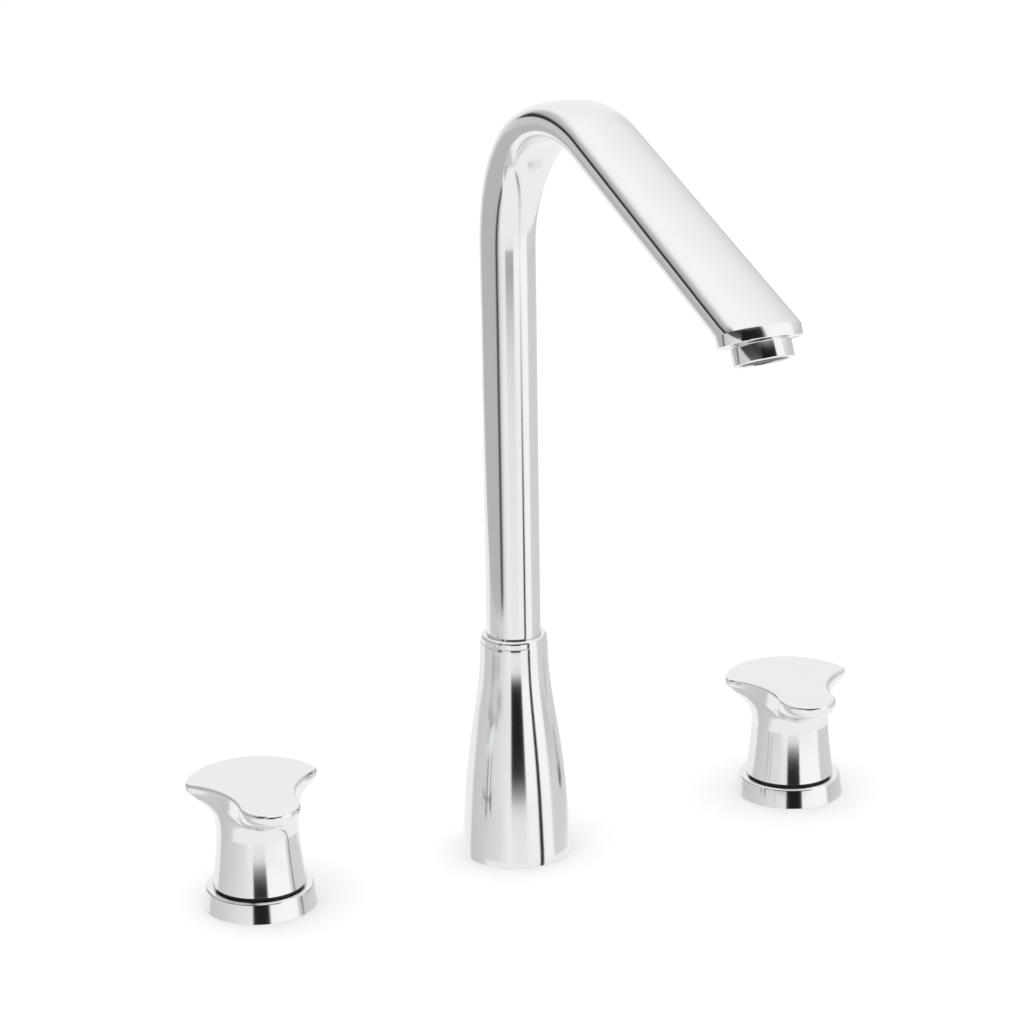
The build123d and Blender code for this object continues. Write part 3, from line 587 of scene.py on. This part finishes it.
# ================================================================== turned pieces
class FAUCET_OT_bell(bpy.types.Operator):
    """Model the waisted bell and the rounded collar on it."""

    bl_idname = "faucet.bell"
    bl_label = "Bell and Collar"

    def execute(self, context):
        shell = context.scene.faucet_shell
        edge = shell.bell_edge / MM
        side = spline_side(BELL_SIDE, BELL_SECTIONS)
        foot_r, top_r, height = side[0][0], side[-1][0], side[-1][1]
        profile = [
            (foot_r - edge, 0.0),
            (foot_r - edge * EDGE_MIDDLE, edge * EDGE_MIDDLE),
            *side[1:-1],
            *rounded((top_r, height), side[-2], (0, height), edge, 4),
            (top_r - BELL_WALL, height),
            *((r - BELL_WALL, z) for r, z in reversed(side[1:-1])),
            (foot_r - BELL_WALL, 0.0),
        ]
        bell = turned("bell_shell", profile, shell.round_steps)
        dress(bell, "base", "base_shroud")

        edge = shell.collar_edge / MM
        top = height + COLLAR_H
        bottom = height - COLLAR_SPIGOT_L
        profile = [
            (COLLAR_R, height),
            *rounded((COLLAR_R, top), (COLLAR_R, height), (COLLAR_BORE_R, top), edge, 8),
            (COLLAR_BORE_R, top - COLLAR_DISH),
            (COLLAR_BORE_R, bottom),
            (COLLAR_BORE_R + COLLAR_SPIGOT_WALL, bottom),
            (COLLAR_BORE_R + COLLAR_SPIGOT_WALL, height),
        ]
        collar = turned("collar_shell", profile, shell.round_steps)
        dress(collar, "base", "spout_collar")
        return {"FINISHED"}


class FAUCET_OT_aerator(bpy.types.Operator):
    """Model the chromed ring that holds the aerator."""

    bl_idname = "faucet.aerator"
    bl_label = "Aerator Ring"

    def execute(self, context):
        shell = context.scene.faucet_shell
        edge = shell.aerator_edge / MM
        seat_r = NOZZLE_R + AERATOR_ROOM
        outer_top, outer_rim = (AERATOR_R, 0.0), (AERATOR_R, AERATOR_L)
        bore_rim, bore_top = (AERATOR_BORE_R, AERATOR_L), (AERATOR_BORE_R, 0.0)
        profile = [
            (seat_r, 0.0),
            *rounded(outer_top, (NOZZLE_R, 0.0), outer_rim, edge, 4),
            *rounded(outer_rim, outer_top, bore_rim, edge, 4),
            *rounded(bore_rim, outer_rim, bore_top, AERATOR_BORE_EDGE, 3),
            (AERATOR_BORE_R, AERATOR_L - AERATOR_LIP_T),
            (seat_r, AERATOR_L - AERATOR_LIP_T),
        ]
        ring = turned("aerator_shell", profile, shell.round_steps)
        shoulder, down, tip_out = spout_mouth()
        place = Matrix.Translation((shoulder + down * (TIP_LIP + AERATOR_GAP)) * MM)
        ring.matrix_world = place @ Matrix((ACROSS, tip_out, down)).transposed().to_4x4()
        bpy.ops.object.transform_apply(location=True, rotation=True, scale=True)
        close_shell(ring)
        dress(ring, "spout", "aerator_housing")
        return {"FINISHED"}


class FAUCET_OT_cover_rings(bpy.types.Operator):
    """Model one conical cover ring and copy it for the other handle."""

    bl_idname = "faucet.cover_rings"
    bl_label = "Cover Rings"

    def execute(self, context):
        shell = context.scene.faucet_shell
        edge = shell.cover_edge / MM
        foot, shoulder = (COVER_FOOT_R, 0.0), (COVER_TOP_R, COVER_H)
        roof = COVER_H - COVER_TOP_T
        lean = (COVER_FOOT_R - COVER_TOP_R) * roof / COVER_H
        profile = [
            (COVER_FOOT_R - COVER_FOOT_EDGE, 0.0),
            (COVER_FOOT_R - COVER_FOOT_LEAN, COVER_FOOT_EDGE),
            *rounded(shoulder, foot, (COVER_BORE_R, COVER_H), edge, 7),
            (COVER_BORE_R, COVER_H),
            (COVER_BORE_R, roof),
            (COVER_FOOT_R - COVER_WALL - lean, roof),
            (COVER_FOOT_R - COVER_WALL, 0.0),
        ]
        first = turned("left_cover_shell", profile, shell.round_steps)
        pieces = {"left": first, "right": twin(context, first, "right_cover_shell")}
        for side, piece in pieces.items():
            piece.data.transform(Matrix.Translation(UNITS[side] * MM))
            dress(piece, "base", f"{side}_cover_ring")
        return {"FINISHED"}


# ================================================================== handles
def handle_plan():
    """Corners of the plan's right half.

    They are the lobe's front and end, the flank's middle, three points round the wing tip and the
    middle of the back.
    """
    lobe = Vector((0, LOBE_R - LOBE_REACH))
    tip = Vector((WING_HALF_SPAN, WING_BACK))
    away = (tip - lobe).length
    reach = LOBE_R + FLANK_R
    along = (reach**2 - FLANK_R**2 + away**2) / (2 * away)
    axis = (tip - lobe).normalized()
    hollow = lobe + axis * along + Vector((axis.y, -axis.x)) * sqrt(reach**2 - along**2)
    join = lobe + (hollow - lobe) * (LOBE_R / reach)
    flank = hollow + ((tip + join) / 2 - hollow).normalized() * FLANK_R
    rise = BACK_REACH - WING_BACK
    bow = Vector((0, BACK_REACH - (WING_HALF_SPAN**2 + rise**2) / (2 * rise)))
    off_hollow = (tip - hollow).normalized()
    off_bow = (tip - bow).normalized()
    before = tip + Vector((-off_hollow.y, off_hollow.x)) * WING_TIP_TRIM
    after = tip + Vector((-off_bow.y, off_bow.x)) * WING_TIP_TRIM
    blunt = 1 / (1 + (after - before).length / (2 * WING_TIP_TRIM))
    rounded_tip = tip + ((before + after) / 2 - tip) * blunt
    front, back = Vector((0, -LOBE_REACH)), Vector((0, BACK_REACH))
    return front, join, flank, before, rounded_tip, after, back


def arc(start, middle, end, steps):
    """Points of the arc through three points, without its end."""
    a, b = middle - start, end - start
    cross = a.x * b.y - a.y * b.x
    if abs(cross) < 1e-4:  # in line, or all at one place
        return [start.lerp(end, i / steps) for i in range(steps)]
    a2, b2 = a.length_squared, b.length_squared
    centre = start + Vector((b.y * a2 - a.y * b2, a.x * b2 - b.x * a2)) / (2 * cross)
    u = start - centre
    full = u.angle_signed(end - centre)
    half = u.angle_signed(middle - centre)
    sweep = -full
    if half * full < 0 or abs(half) > abs(full):
        sweep = (2 * pi - abs(full)) * (1 if full > 0 else -1)
    points = []
    for i in range(steps):
        angle = sweep * i / steps
        c, s = cos(angle), sin(angle)
        points.append(centre + Vector((u.x * c - u.y * s, u.x * s + u.y * c)))
    return points


def handle_ring(radius, wings, lobe):
    """Outline of the handle between a circle (share 0) and the full plan (share 1)."""
    shares = (lobe, lobe, (lobe + wings) / 2, wings, wings, wings, wings)
    right = [p.normalized() * radius * (1 - g) + p * g for p, g in zip(handle_plan(), shares)]
    left = [Vector((-p.x, p.y)) for p in right]
    lobe_steps, flank_steps, tip_steps, back_steps = PLAN_STEPS
    return [
        *arc(left[1], right[0], right[1], lobe_steps),
        *arc(right[1], right[2], right[3], flank_steps),
        *arc(right[3], right[4], right[5], tip_steps),
        *arc(right[5], right[6], left[5], back_steps),
        *arc(left[5], left[4], left[3], tip_steps),
        *arc(left[3], left[2], left[1], flank_steps),
    ]


def drawn_in(ring, inset):
    """Outline moved inward by an even distance."""
    moved = []
    for i, p in enumerate(ring):
        along = ring[(i + 1) % len(ring)] - ring[i - 1]
        moved.append(p + Vector((-along.y, along.x)).normalized() * inset)
    return moved


def handle_rings(head_steps, edge):
    """Rings of the handle from inside its skirt, down, round the foot, up and over the plate."""
    rings = []

    def add(ring, height):
        rings.append([Vector((p.x, p.y, height)) for p in ring])

    def circle(radius, height):
        add(handle_ring(radius, 0.0, 0.0), height)

    circle(0.0, CAVITY_TOP)
    circle(WAIST_R - SKIRT_WALL, CAVITY_TOP)
    circle(WAIST_R - SKIRT_WALL, WAIST_Z)
    circle(SKIRT_FOOT_R - SKIRT_WALL, SKIRT_FOOT_Z)
    circle(SKIRT_FOOT_R - SKIRT_FOOT_EDGE, SKIRT_FOOT_Z)
    circle(SKIRT_FOOT_R - SKIRT_FOOT_LEAN, SKIRT_FOOT_Z + SKIRT_FOOT_RISE)
    middle_r = (SKIRT_FOOT_R + WAIST_R) / 2 - SKIRT_BOW
    for i in range(1, SKIRT_SECTIONS):
        t = i / SKIRT_SECTIONS
        radius = SKIRT_FOOT_R * (1 - t) * (1 - 2 * t) + middle_r * 4 * t * (1 - t)
        radius += WAIST_R * t * (2 * t - 1)
        circle(radius, SKIRT_FOOT_Z + (WAIST_Z - SKIRT_FOOT_Z) * t)

    plate_z = HANDLE_TOP - PLATE_T
    knots = (*HEAD_FLARE, (plate_z - WAIST_Z, 1.0, 1.0))
    for i in range(head_steps):
        rise = (plate_z - WAIST_Z) * i / head_steps
        shares = smooth_share(knots, 1, rise), smooth_share(knots, 2, rise)
        add(handle_ring(WAIST_R, *shares), WAIST_Z + rise)
    plan = handle_ring(WAIST_R, 1.0, 1.0)
    add(plan, plate_z)
    add(plan, HANDLE_TOP - edge)
    for i in range(1, PLATE_EDGE_SECTIONS + 1):
        a = pi / 2 * i / PLATE_EDGE_SECTIONS
        add(drawn_in(plan, edge * (1 - cos(a))), HANDLE_TOP - edge * (1 - sin(a)))
    inner = drawn_in(plan, edge)
    for share in PLATE_SHARES:
        add([PLATE_MIDDLE + (p - PLATE_MIDDLE) * share for p in inner], HANDLE_TOP)
    return rings


class FAUCET_OT_handles(bpy.types.Operator):
    """Model the winged handle on its waisted skirt, drill its screw hole and copy it."""

    bl_idname = "faucet.handles"
    bl_label = "Handles"

    def execute(self, context):
        shell = context.scene.faucet_shell
        rings = handle_rings(shell.head_steps, shell.plate_edge / MM)
        first = skin("left_handle_shell", rings)
        fresh()
        bpy.ops.mesh.primitive_cylinder_add(
            vertices=SCREW_STEPS,
            radius=SCREW_R * MM,
            depth=SCREW_HOLE_L * MM,
            location=(0, SCREW_HOLE_Y * MM, SCREW_Z * MM),
            rotation=(pi / 2, 0, 0),
        )
        drill = context.object
        fresh()
        first.select_set(True)
        context.view_layer.objects.active = first
        cut = first.modifiers.new("screw hole", "BOOLEAN")
        cut.operation = "DIFFERENCE"
        cut.solver = "EXACT"
        cut.object = drill
        bpy.ops.object.modifier_apply(modifier=cut.name)
        bpy.data.objects.remove(drill)
        pieces = {"left": first, "right": twin(context, first, "right_handle_shell")}
        for side, piece in pieces.items():
            turn = Matrix.Rotation(radians(TURNS[side]), 4, "Z")
            piece.data.transform(Matrix.Translation(UNITS[side] * MM) @ turn)
            dress(piece, f"{side}_handle", f"{side}_handle")
        return {"FINISHED"}


# ================================================================== finishes
class Wire:
    """A shader socket that takes part in arithmetic."""

    def __init__(self, finish, socket):
        self.finish = finish
        self.socket = socket

    def math(self, operation, *others):
        """Math node on this socket and the other values."""
        inputs = dict(enumerate((self, *others)))
        return self.finish.node("ShaderNodeMath", {"operation": operation}, inputs)

    def __add__(self, other):
        return self.math("ADD", other)

    __radd__ = __add__

    def __sub__(self, other):
        return self.math("SUBTRACT", other)

    def __rsub__(self, other):
        return (self * -1) + other

    def __mul__(self, other):
        return self.math("MULTIPLY", other)

    __rmul__ = __mul__

    def between(self, low, high):
        """0 below low, 1 above high, smooth between."""
        settings = {"interpolation_type": "SMOOTHSTEP"}
        return self.finish.node("ShaderNodeMapRange", settings, {"Value": self, 1: low, 2: high})


class Finish:
    """A material or a world under construction."""

    def __init__(self, name, store="materials"):
        self.owner = getattr(bpy.data, store).new(name)
        self.owner.use_nodes = True
        self.tree = self.owner.node_tree
        self.tree.nodes.clear()

    def node(self, kind, settings, inputs, output=0):
        """Add a node, set it, feed its sockets and return one output."""
        made = self.tree.nodes.new(kind)
        for name, value in settings.items():
            if name == "stops":
                elements = made.color_ramp.elements
                for place, (position, tone) in enumerate(value):
                    stop = elements[place] if place < 2 else elements.new(position)
                    stop.position = position
                    stop.color = (tone, tone, tone, 1)
            else:
                setattr(made, name, value)
        for name, value in inputs.items():
            if isinstance(value, Wire):
                self.tree.links.new(value.socket, made.inputs[name])
            else:
                made.inputs[name].default_value = value
        return Wire(self, made.outputs[output])

    def place(self):
        """Object coordinates in metres."""
        return self.node("ShaderNodeTexCoord", {}, {}, "Object")

    def split(self, vector):
        """The three numbers of a vector."""
        x = self.node("ShaderNodeSeparateXYZ", {}, {"Vector": vector})
        return [Wire(self, output) for output in x.socket.node.outputs]

    def ramp(self, factor, stops):
        """Grey looked up among (position, tone) stops."""
        return self.node("ShaderNodeValToRGB", {"stops": stops}, {"Fac": factor})

    def blend(self, factor, low, high):
        """Colour between two colours."""
        settings = {"data_type": "RGBA", "clamp_factor": True}
        return self.node("ShaderNodeMix", settings, {0: factor, 6: low, 7: high}, 2)

    def tint(self, factor, low, high):
        """Colour that wanders between two near ones."""
        return self.blend(factor, (*low, 1), (*high, 1))

    def noise(self, scale, detail, stretch=(1, 1, 1)):
        """Fine or coarse grain, scale in cells a metre."""
        where = self.node("ShaderNodeMapping", {}, {"Vector": self.place(), "Scale": stretch})
        inputs = {"Vector": where, "Scale": scale, "Detail": detail}
        return self.node("ShaderNodeTexNoise", {}, inputs)

    def bump(self, height, strength, distance):
        """Normal that follows a height, distance in metres."""
        inputs = {"Height": height, "Strength": strength, "Distance": distance}
        return self.node("ShaderNodeBump", {}, inputs)

    def surface(self, **inputs):
        """Principled shader of the named sockets, as the material's surface."""
        sockets = {
            name.replace("_", " ").title().replace("Ior", "IOR"): value
            for name, value in inputs.items()
        }
        self.output(self.node("ShaderNodeBsdfPrincipled", {}, sockets))
        return self.owner

    def output(self, shader, kind="ShaderNodeOutputMaterial"):
        """End the nodes with a shader."""
        end = self.tree.nodes.new(kind)
        self.tree.links.new(shader.socket, end.inputs["Surface"])


def shade(colour, share):
    """A colour made lighter or darker by a share."""
    return tuple(min(1.0, c * share) for c in colour)


def chrome_finish(colours):
    """Polished plate: mirror bright, with faint waves of buffing and a breath of wiping marks."""
    finish = Finish("chrome")
    waves = finish.noise(38.0, 2.0)
    wiping = finish.noise(420.0, 4.0, (1, 1, 0.25))
    marks = wiping.between(0.42, 0.75)
    tone = finish.tint(waves, shade(colours.chrome, 0.985), shade(colours.chrome, 1.005))
    rough = colours.chrome_roughness + marks * 0.02
    normal = finish.bump(waves, 0.02, 0.0004)
    return finish.surface(base_color=tone, metallic=1.0, roughness=rough, normal=normal)


def brass_finish(colours):
    """Turned brass: fine rings of the tool round each upright piece, a little tarnish."""
    finish = Finish("brass")
    rings = finish.noise(900.0, 2.0, (0.04, 0.04, 1.0))
    tarnish = finish.noise(60.0, 5.0).between(0.35, 0.75)
    tone = finish.tint(tarnish, shade(colours.brass, 1.08), shade(colours.brass, 0.72))
    rough = 0.22 + rings * 0.12 + tarnish * 0.12
    normal = finish.bump(rings, 0.25, 0.0002)
    return finish.surface(base_color=tone, metallic=1.0, roughness=rough, normal=normal)


def copper_finish(colours):
    """Drawn copper: streaks along the tube and darker patches of oxide."""
    finish = Finish("copper")
    streaks = finish.noise(700.0, 3.0, (0.02, 1.0, 1.0))
    oxide = finish.noise(45.0, 5.0).between(0.45, 0.8)
    tone = finish.tint(oxide, shade(colours.copper, 1.1), shade(colours.copper, 0.6))
    rough = 0.2 + streaks * 0.14 + oxide * 0.15
    normal = finish.bump(streaks, 0.15, 0.0002)
    return finish.surface(base_color=tone, metallic=1.0, roughness=rough, normal=normal)


def steel_finish(colours):
    """Rolled stainless steel: a fine grain one way."""
    finish = Finish("steel")
    grain = finish.noise(1500.0, 3.0, (0.03, 1.0, 1.0))
    tone = finish.tint(grain, shade(colours.steel, 0.85), shade(colours.steel, 1.12))
    rough = 0.24 + grain * 0.2
    normal = finish.bump(grain, 0.2, 0.0001)
    return finish.surface(base_color=tone, metallic=1.0, roughness=rough, normal=normal)


def rubber_finish(colours):
    """Moulded rubber: matt, finely pitted, with a dusty bloom."""
    finish = Finish("black_rubber")
    pits = finish.noise(2600.0, 2.0)
    bloom = finish.noise(90.0, 5.0).between(0.4, 0.8)
    tone = finish.tint(bloom, colours.rubber, shade(colours.rubber, 2.2))
    normal = finish.bump(pits, 0.4, 0.0001)
    return finish.surface(base_color=tone, roughness=0.68 + bloom * 0.15, normal=normal)


def plastic_finish(name, colour, rough):
    """Moulded plastic: a fine spark-eroded texture and slight flow shading."""
    finish = Finish(name)
    texture = finish.noise(3200.0, 2.0)
    flow = finish.noise(70.0, 3.0)
    tone = finish.tint(flow, shade(colour, 0.92), shade(colour, 1.08))
    normal = finish.bump(texture, 0.3, 0.00008)
    return finish.surface(base_color=tone, roughness=rough + texture * 0.1, normal=normal)


def ceramic_finish(colours):
    """Lapped ceramic: dense and pale, with a faint speckle."""
    finish = Finish("ceramic")
    speckle = finish.noise(1800.0, 2.0).between(0.6, 0.72)
    tone = finish.tint(speckle, colours.ceramic, shade(colours.ceramic, 0.9))
    return finish.surface(base_color=tone, roughness=0.14 + speckle * 0.1, coat_weight=0.2)


class FAUCET_OT_finishes(bpy.types.Operator):
    """Make the finishes and give every CAD piece the one its record names."""

    bl_idname = "faucet.finishes"
    bl_label = "Finishes"

    def execute(self, context):
        colours = context.scene.faucet_finish
        made = {
            "chrome": chrome_finish(colours),
            "brass": brass_finish(colours),
            "copper": copper_finish(colours),
            "steel": steel_finish(colours),
            "black_rubber": rubber_finish(colours),
            "ceramic": ceramic_finish(colours),
        }
        plastics = (("dark_plastic", 0.42), ("white_plastic", 0.35), ("aerator_plastic", 0.4))
        for name, rough in plastics:
            made[name] = plastic_finish(name, getattr(colours, name), rough)
        for part in frame["record"]["subparts"]:
            node = frame["nodes"][part["node"]]
            node.data.materials.clear()
            node.data.materials.append(made[part["material_slot"]])
        return {"FINISHED"}


# ================================================================== stage
# Walls of the tent from its floor up. Each has the heights, in shares of the radius, over which
# it gives way to the next, and its tones by azimuth in degrees from the front.
TENT_TONES = (
    ((-0.36, -0.34), (
        (-180, 0.92), (-146, 0.94), (-140, 0.58), (-105, 0.64), (-92, 0.90), (180, 0.92),
    )),
    ((-0.219, -0.209), (
        (-180, 0.88), (-146, 0.90), (-140, 0.60), (-98, 0.66), (-66, 0.74),
        (-52, 0.84), (-42, 0.93), (-36, 0.88), (-10, 0.86), (0, 0.92),
        (56, 0.98), (61, 0.68), (120, 0.66), (150, 0.80), (180, 0.86),
    )),
    ((-0.178, -0.164), (
        (-180, 0.82), (-150, 0.60), (-98, 0.68), (-66, 0.78), (-38, 0.88),
        (-36.5, 0.22), (-4.5, 0.20), (-3, 1.0),
        (56, 1.0), (61, 0.64), (120, 0.62), (150, 0.82), (180, 0.82),
    )),
    ((0.02, 0.05), (
        (-180, 0.80), (-150, 0.56), (-98, 0.68), (-66, 0.78), (-38, 0.88),
        (-36.5, 0.012), (-4.5, 0.012), (-3, 1.0),
        (56, 1.0), (61, 0.58), (120, 0.60), (150, 0.82), (180, 0.82),
    )),
    ((0.14, 0.36), (
        (-180, 0.88), (-169, 0.74), (-163, 0.02), (-120, 0.02), (-90, 0.06), (-60, 0.11),
        (-36, 0.11), (-34, 0.012), (21, 0.012), (24, 1.0), (56, 1.0), (62, 0.75),
        (105, 0.58), (136, 0.58), (144, 0.90), (180, 0.90),
    )),
    ((0.42, 0.94), (
        (-180, 0.88), (-166, 0.52), (-120, 0.44), (-100, 0.06),
        (-36, 0.04), (-34, 0.012), (21, 0.012), (24, 1.0), (56, 1.0), (62, 0.80),
        (105, 0.74), (136, 0.74), (144, 0.90), (180, 0.90),
    )),
    (None, ((-180, 0.98), (180, 0.98))),
)
# Name, ends in plan, height of the foot, height, way the tones run (0 across, 1 upward), tones,
# soft shares of the sides, foot and top.
FLAGS = (
    (
        "side_flag", ((-178.0, -112.0), (-178.0, 600.0)), 58.0, 230.0, 0,
        (
            (0.0, 0.8), (0.03, 0.6), (0.05, 0.4), (0.062, 0.04), (0.085, 0.04),
            (0.1, 0.32), (0.115, 0.52),
        ),
        (0.01, 0.03, 0.1),
    ),
    (
        "edge_flag", ((22.0, -77.8), (32.8, -72.6)), -260.0, 570.0, 1,
        ((0.0, 0.01), (1.0, 0.01)),
        (0.12, 0.3, 0.35),
    ),
)


def only_reflected(card):
    """Stage piece that shows in reflections and nowhere else."""
    card.visible_camera = False
    card.visible_diffuse = False
    card.visible_shadow = False
    card.visible_transmission = False


def flag(name, ends, foot, height, way, tones, soft):
    """Upright card from one place to another, graded across or upward, with soft edges."""
    fresh()
    bpy.ops.mesh.primitive_grid_add(x_subdivisions=4, y_subdivisions=4, size=1)
    card = bpy.context.object
    card.name = name
    left, right = (Vector((*place, foot)) for place in ends)
    rise = Vector((0, 0, height))
    middle = (left + right + rise) / 2
    facing = (right - left).cross(rise).normalized()
    axes = Matrix((right - left, rise, facing)).transposed().to_4x4()
    card.data.transform(Matrix.Scale(MM, 4) @ Matrix.Translation(middle) @ axes)
    finish = Finish(name)
    u, v = finish.split(finish.node("ShaderNodeTexCoord", {}, {}, "UV"))[:2]
    sides, bottom, top = soft
    inside = (1 - (u - 0.5).math("ABSOLUTE").between(0.5 - sides, 0.5)) * v.between(0.0, bottom)
    inside = inside * (1 - v.between(1 - top, 1.0))
    glow = finish.node("ShaderNodeEmission", {}, {"Color": finish.ramp((u, v)[way], tones)})
    clear = finish.node("ShaderNodeBsdfTransparent", {}, {})
    finish.output(finish.node("ShaderNodeMixShader", {}, {0: inside, 1: clear, 2: glow}))
    card.data.materials.append(finish.owner)
    only_reflected(card)


def tent():
    """Cloth tent round the set: its tone changes round the horizon and upward."""
    fresh()
    bpy.ops.mesh.primitive_uv_sphere_add(segments=96, ring_count=48, radius=TENT_RADIUS)
    shell = bpy.context.object
    shell.name = "tent"
    finish = Finish("tent_cloth")
    x, y, z = finish.split(finish.place())
    turn = x.math("ARCTAN2", y * -1) * (0.5 / pi) + 0.5
    height = z * (1 / TENT_RADIUS)
    cloth = None
    for change, tones in reversed(TENT_TONES):
        wall = finish.ramp(turn, [((azimuth + 180.0) / 360.0, tone) for azimuth, tone in tones])
        cloth = finish.blend(height.between(*change), wall, cloth) if cloth else wall
    glow = finish.node("ShaderNodeEmission", {}, {"Color": cloth, "Strength": TENT_STRENGTH})
    finish.output(glow)
    shell.data.materials.append(finish.owner)
    only_reflected(shell)


def white_floor(size):
    """Pale plane under the faucet, which the chrome doesn't mirror."""
    fresh()
    bpy.ops.mesh.primitive_plane_add(size=size, location=(0, 0, 0))
    floor = bpy.context.object
    floor.name = "floor"
    finish = Finish("floor_white")
    tone = finish.tint(finish.noise(6.0, 2.0), (0.97, 0.97, 0.97), (0.99, 0.99, 0.99))
    material = finish.surface(base_color=tone, roughness=0.9, specular_ior_level=0.0)
    floor.data.materials.append(material)
    floor.visible_glossy = False


def white_room(strength):
    """World that lights the set at one strength, and is plain white where it is seen."""
    room = Finish("white_room", "worlds")
    rays = room.node("ShaderNodeLightPath", {}, {}).socket.node.outputs
    camera = Wire(room, rays["Is Camera Ray"])
    glossy = Wire(room, rays["Is Glossy Ray"])
    through = Wire(room, rays["Is Transmission Ray"])
    seen = camera.math("MAXIMUM", glossy).math("MAXIMUM", through)
    white = (1, 1, 1, 1)
    light = room.node("ShaderNodeBackground", {}, {"Color": white, "Strength": strength})
    plain = room.node("ShaderNodeBackground", {}, {"Color": white})
    blend = room.node("ShaderNodeMixShader", {}, {0: seen, 1: light, 2: plain})
    room.output(blend, "ShaderNodeOutputWorld")
    return room.owner


def key_light(power):
    """Soft round lamp overhead, which the chrome doesn't mirror."""
    fresh()
    bpy.ops.object.light_add(type="AREA", location=KEY_PLACE)
    key = bpy.context.object
    key.name = "key_light"
    key.data.shape = "DISK"
    key.data.size = KEY_SIZE
    key.data.energy = power
    key.rotation_euler = Vector(KEY_BACK).to_track_quat("Z", "Y").to_euler()
    key.visible_glossy = False


def photo_camera():
    """Camera at the photograph's place, turn, roll and focal length."""
    fresh()
    bpy.ops.object.camera_add()
    camera = bpy.context.object
    camera.name = "photo_camera"
    turn, rise, roll = radians(CAMERA_TURN), radians(CAMERA_RISE), radians(CAMERA_ROLL)
    back = Vector((sin(turn) * cos(rise), -cos(turn) * cos(rise), sin(rise)))
    right = Vector((cos(turn), sin(turn), 0))
    up = back.cross(right)
    place = Vector((0, 0, CAMERA_TARGET_Z)) + back * CAMERA_DISTANCE + right * CAMERA_SHIFT
    c, s = cos(roll), sin(roll)
    axes = Matrix((right * c + up * s, up * c - right * s, back)).transposed().to_4x4()
    camera.matrix_world = Matrix.Translation(place * MM) @ axes
    camera.data.lens = CAMERA_FOCAL
    camera.data.sensor_width = CAMERA_FILM
    camera.data.clip_end = CAMERA_CLIP
    return camera


class FAUCET_OT_stage(bpy.types.Operator):
    """Lay the white floor, light the room, hang the tent and flags and set the camera."""

    bl_idname = "faucet.stage"
    bl_label = "Stage"

    def execute(self, context):
        stage = context.scene.faucet_stage
        white_floor(stage.floor_size)
        context.scene.world = white_room(stage.world_strength)
        key_light(stage.key_power)
        tent()
        for values in FLAGS:
            flag(*values)
        for name, node in frame["nodes"].items():
            node.visible_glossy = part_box(name)[0].z > BELOW_TOP
        context.scene.camera = photo_camera()
        context.scene.view_settings.view_transform = "Standard"
        return {"FINISHED"}


# ================================================================== panel
SETTINGS = {
    "faucet_finish": FaucetFinishSettings,
    "faucet_shell": FaucetShellSettings,
    "faucet_stage": FaucetStageSettings,
}
OPERATORS = (
    FAUCET_OT_finishes,
    FAUCET_OT_spout,
    FAUCET_OT_bell,
    FAUCET_OT_aerator,
    FAUCET_OT_cover_rings,
    FAUCET_OT_handles,
    FAUCET_OT_stage,
)


class FAUCET_PT_panel(bpy.types.Panel):
    """Sizes and colours of the faucet, and its steps in order."""

    bl_label = "Kitchen Faucet"
    bl_idname = "FAUCET_PT_panel"
    bl_space_type = "VIEW_3D"
    bl_region_type = "UI"
    bl_category = "Faucet"

    def draw(self, context):
        for group in SETTINGS:
            box = self.layout.box()
            settings = getattr(context.scene, group)
            for name in settings.__annotations__:
                box.prop(settings, name)
        for operator in OPERATORS:
            self.layout.operator(operator.bl_idname)


def register():
    for item in (*SETTINGS.values(), *OPERATORS, FAUCET_PT_panel):
        bpy.utils.register_class(item)
    for name, settings in SETTINGS.items():
        setattr(bpy.types.Scene, name, PointerProperty(type=settings))


def unregister():
    for name in SETTINGS:
        delattr(bpy.types.Scene, name)
    for item in reversed((*SETTINGS.values(), *OPERATORS, FAUCET_PT_panel)):
        bpy.utils.unregister_class(item)


def main():
    register()
    bpy.ops.faucet.finishes()
    bpy.ops.faucet.spout()
    bpy.ops.faucet.bell()
    bpy.ops.faucet.aerator()
    bpy.ops.faucet.cover_rings()
    bpy.ops.faucet.handles()
    bpy.ops.faucet.stage()


if __name__ == "__main__":
    main()
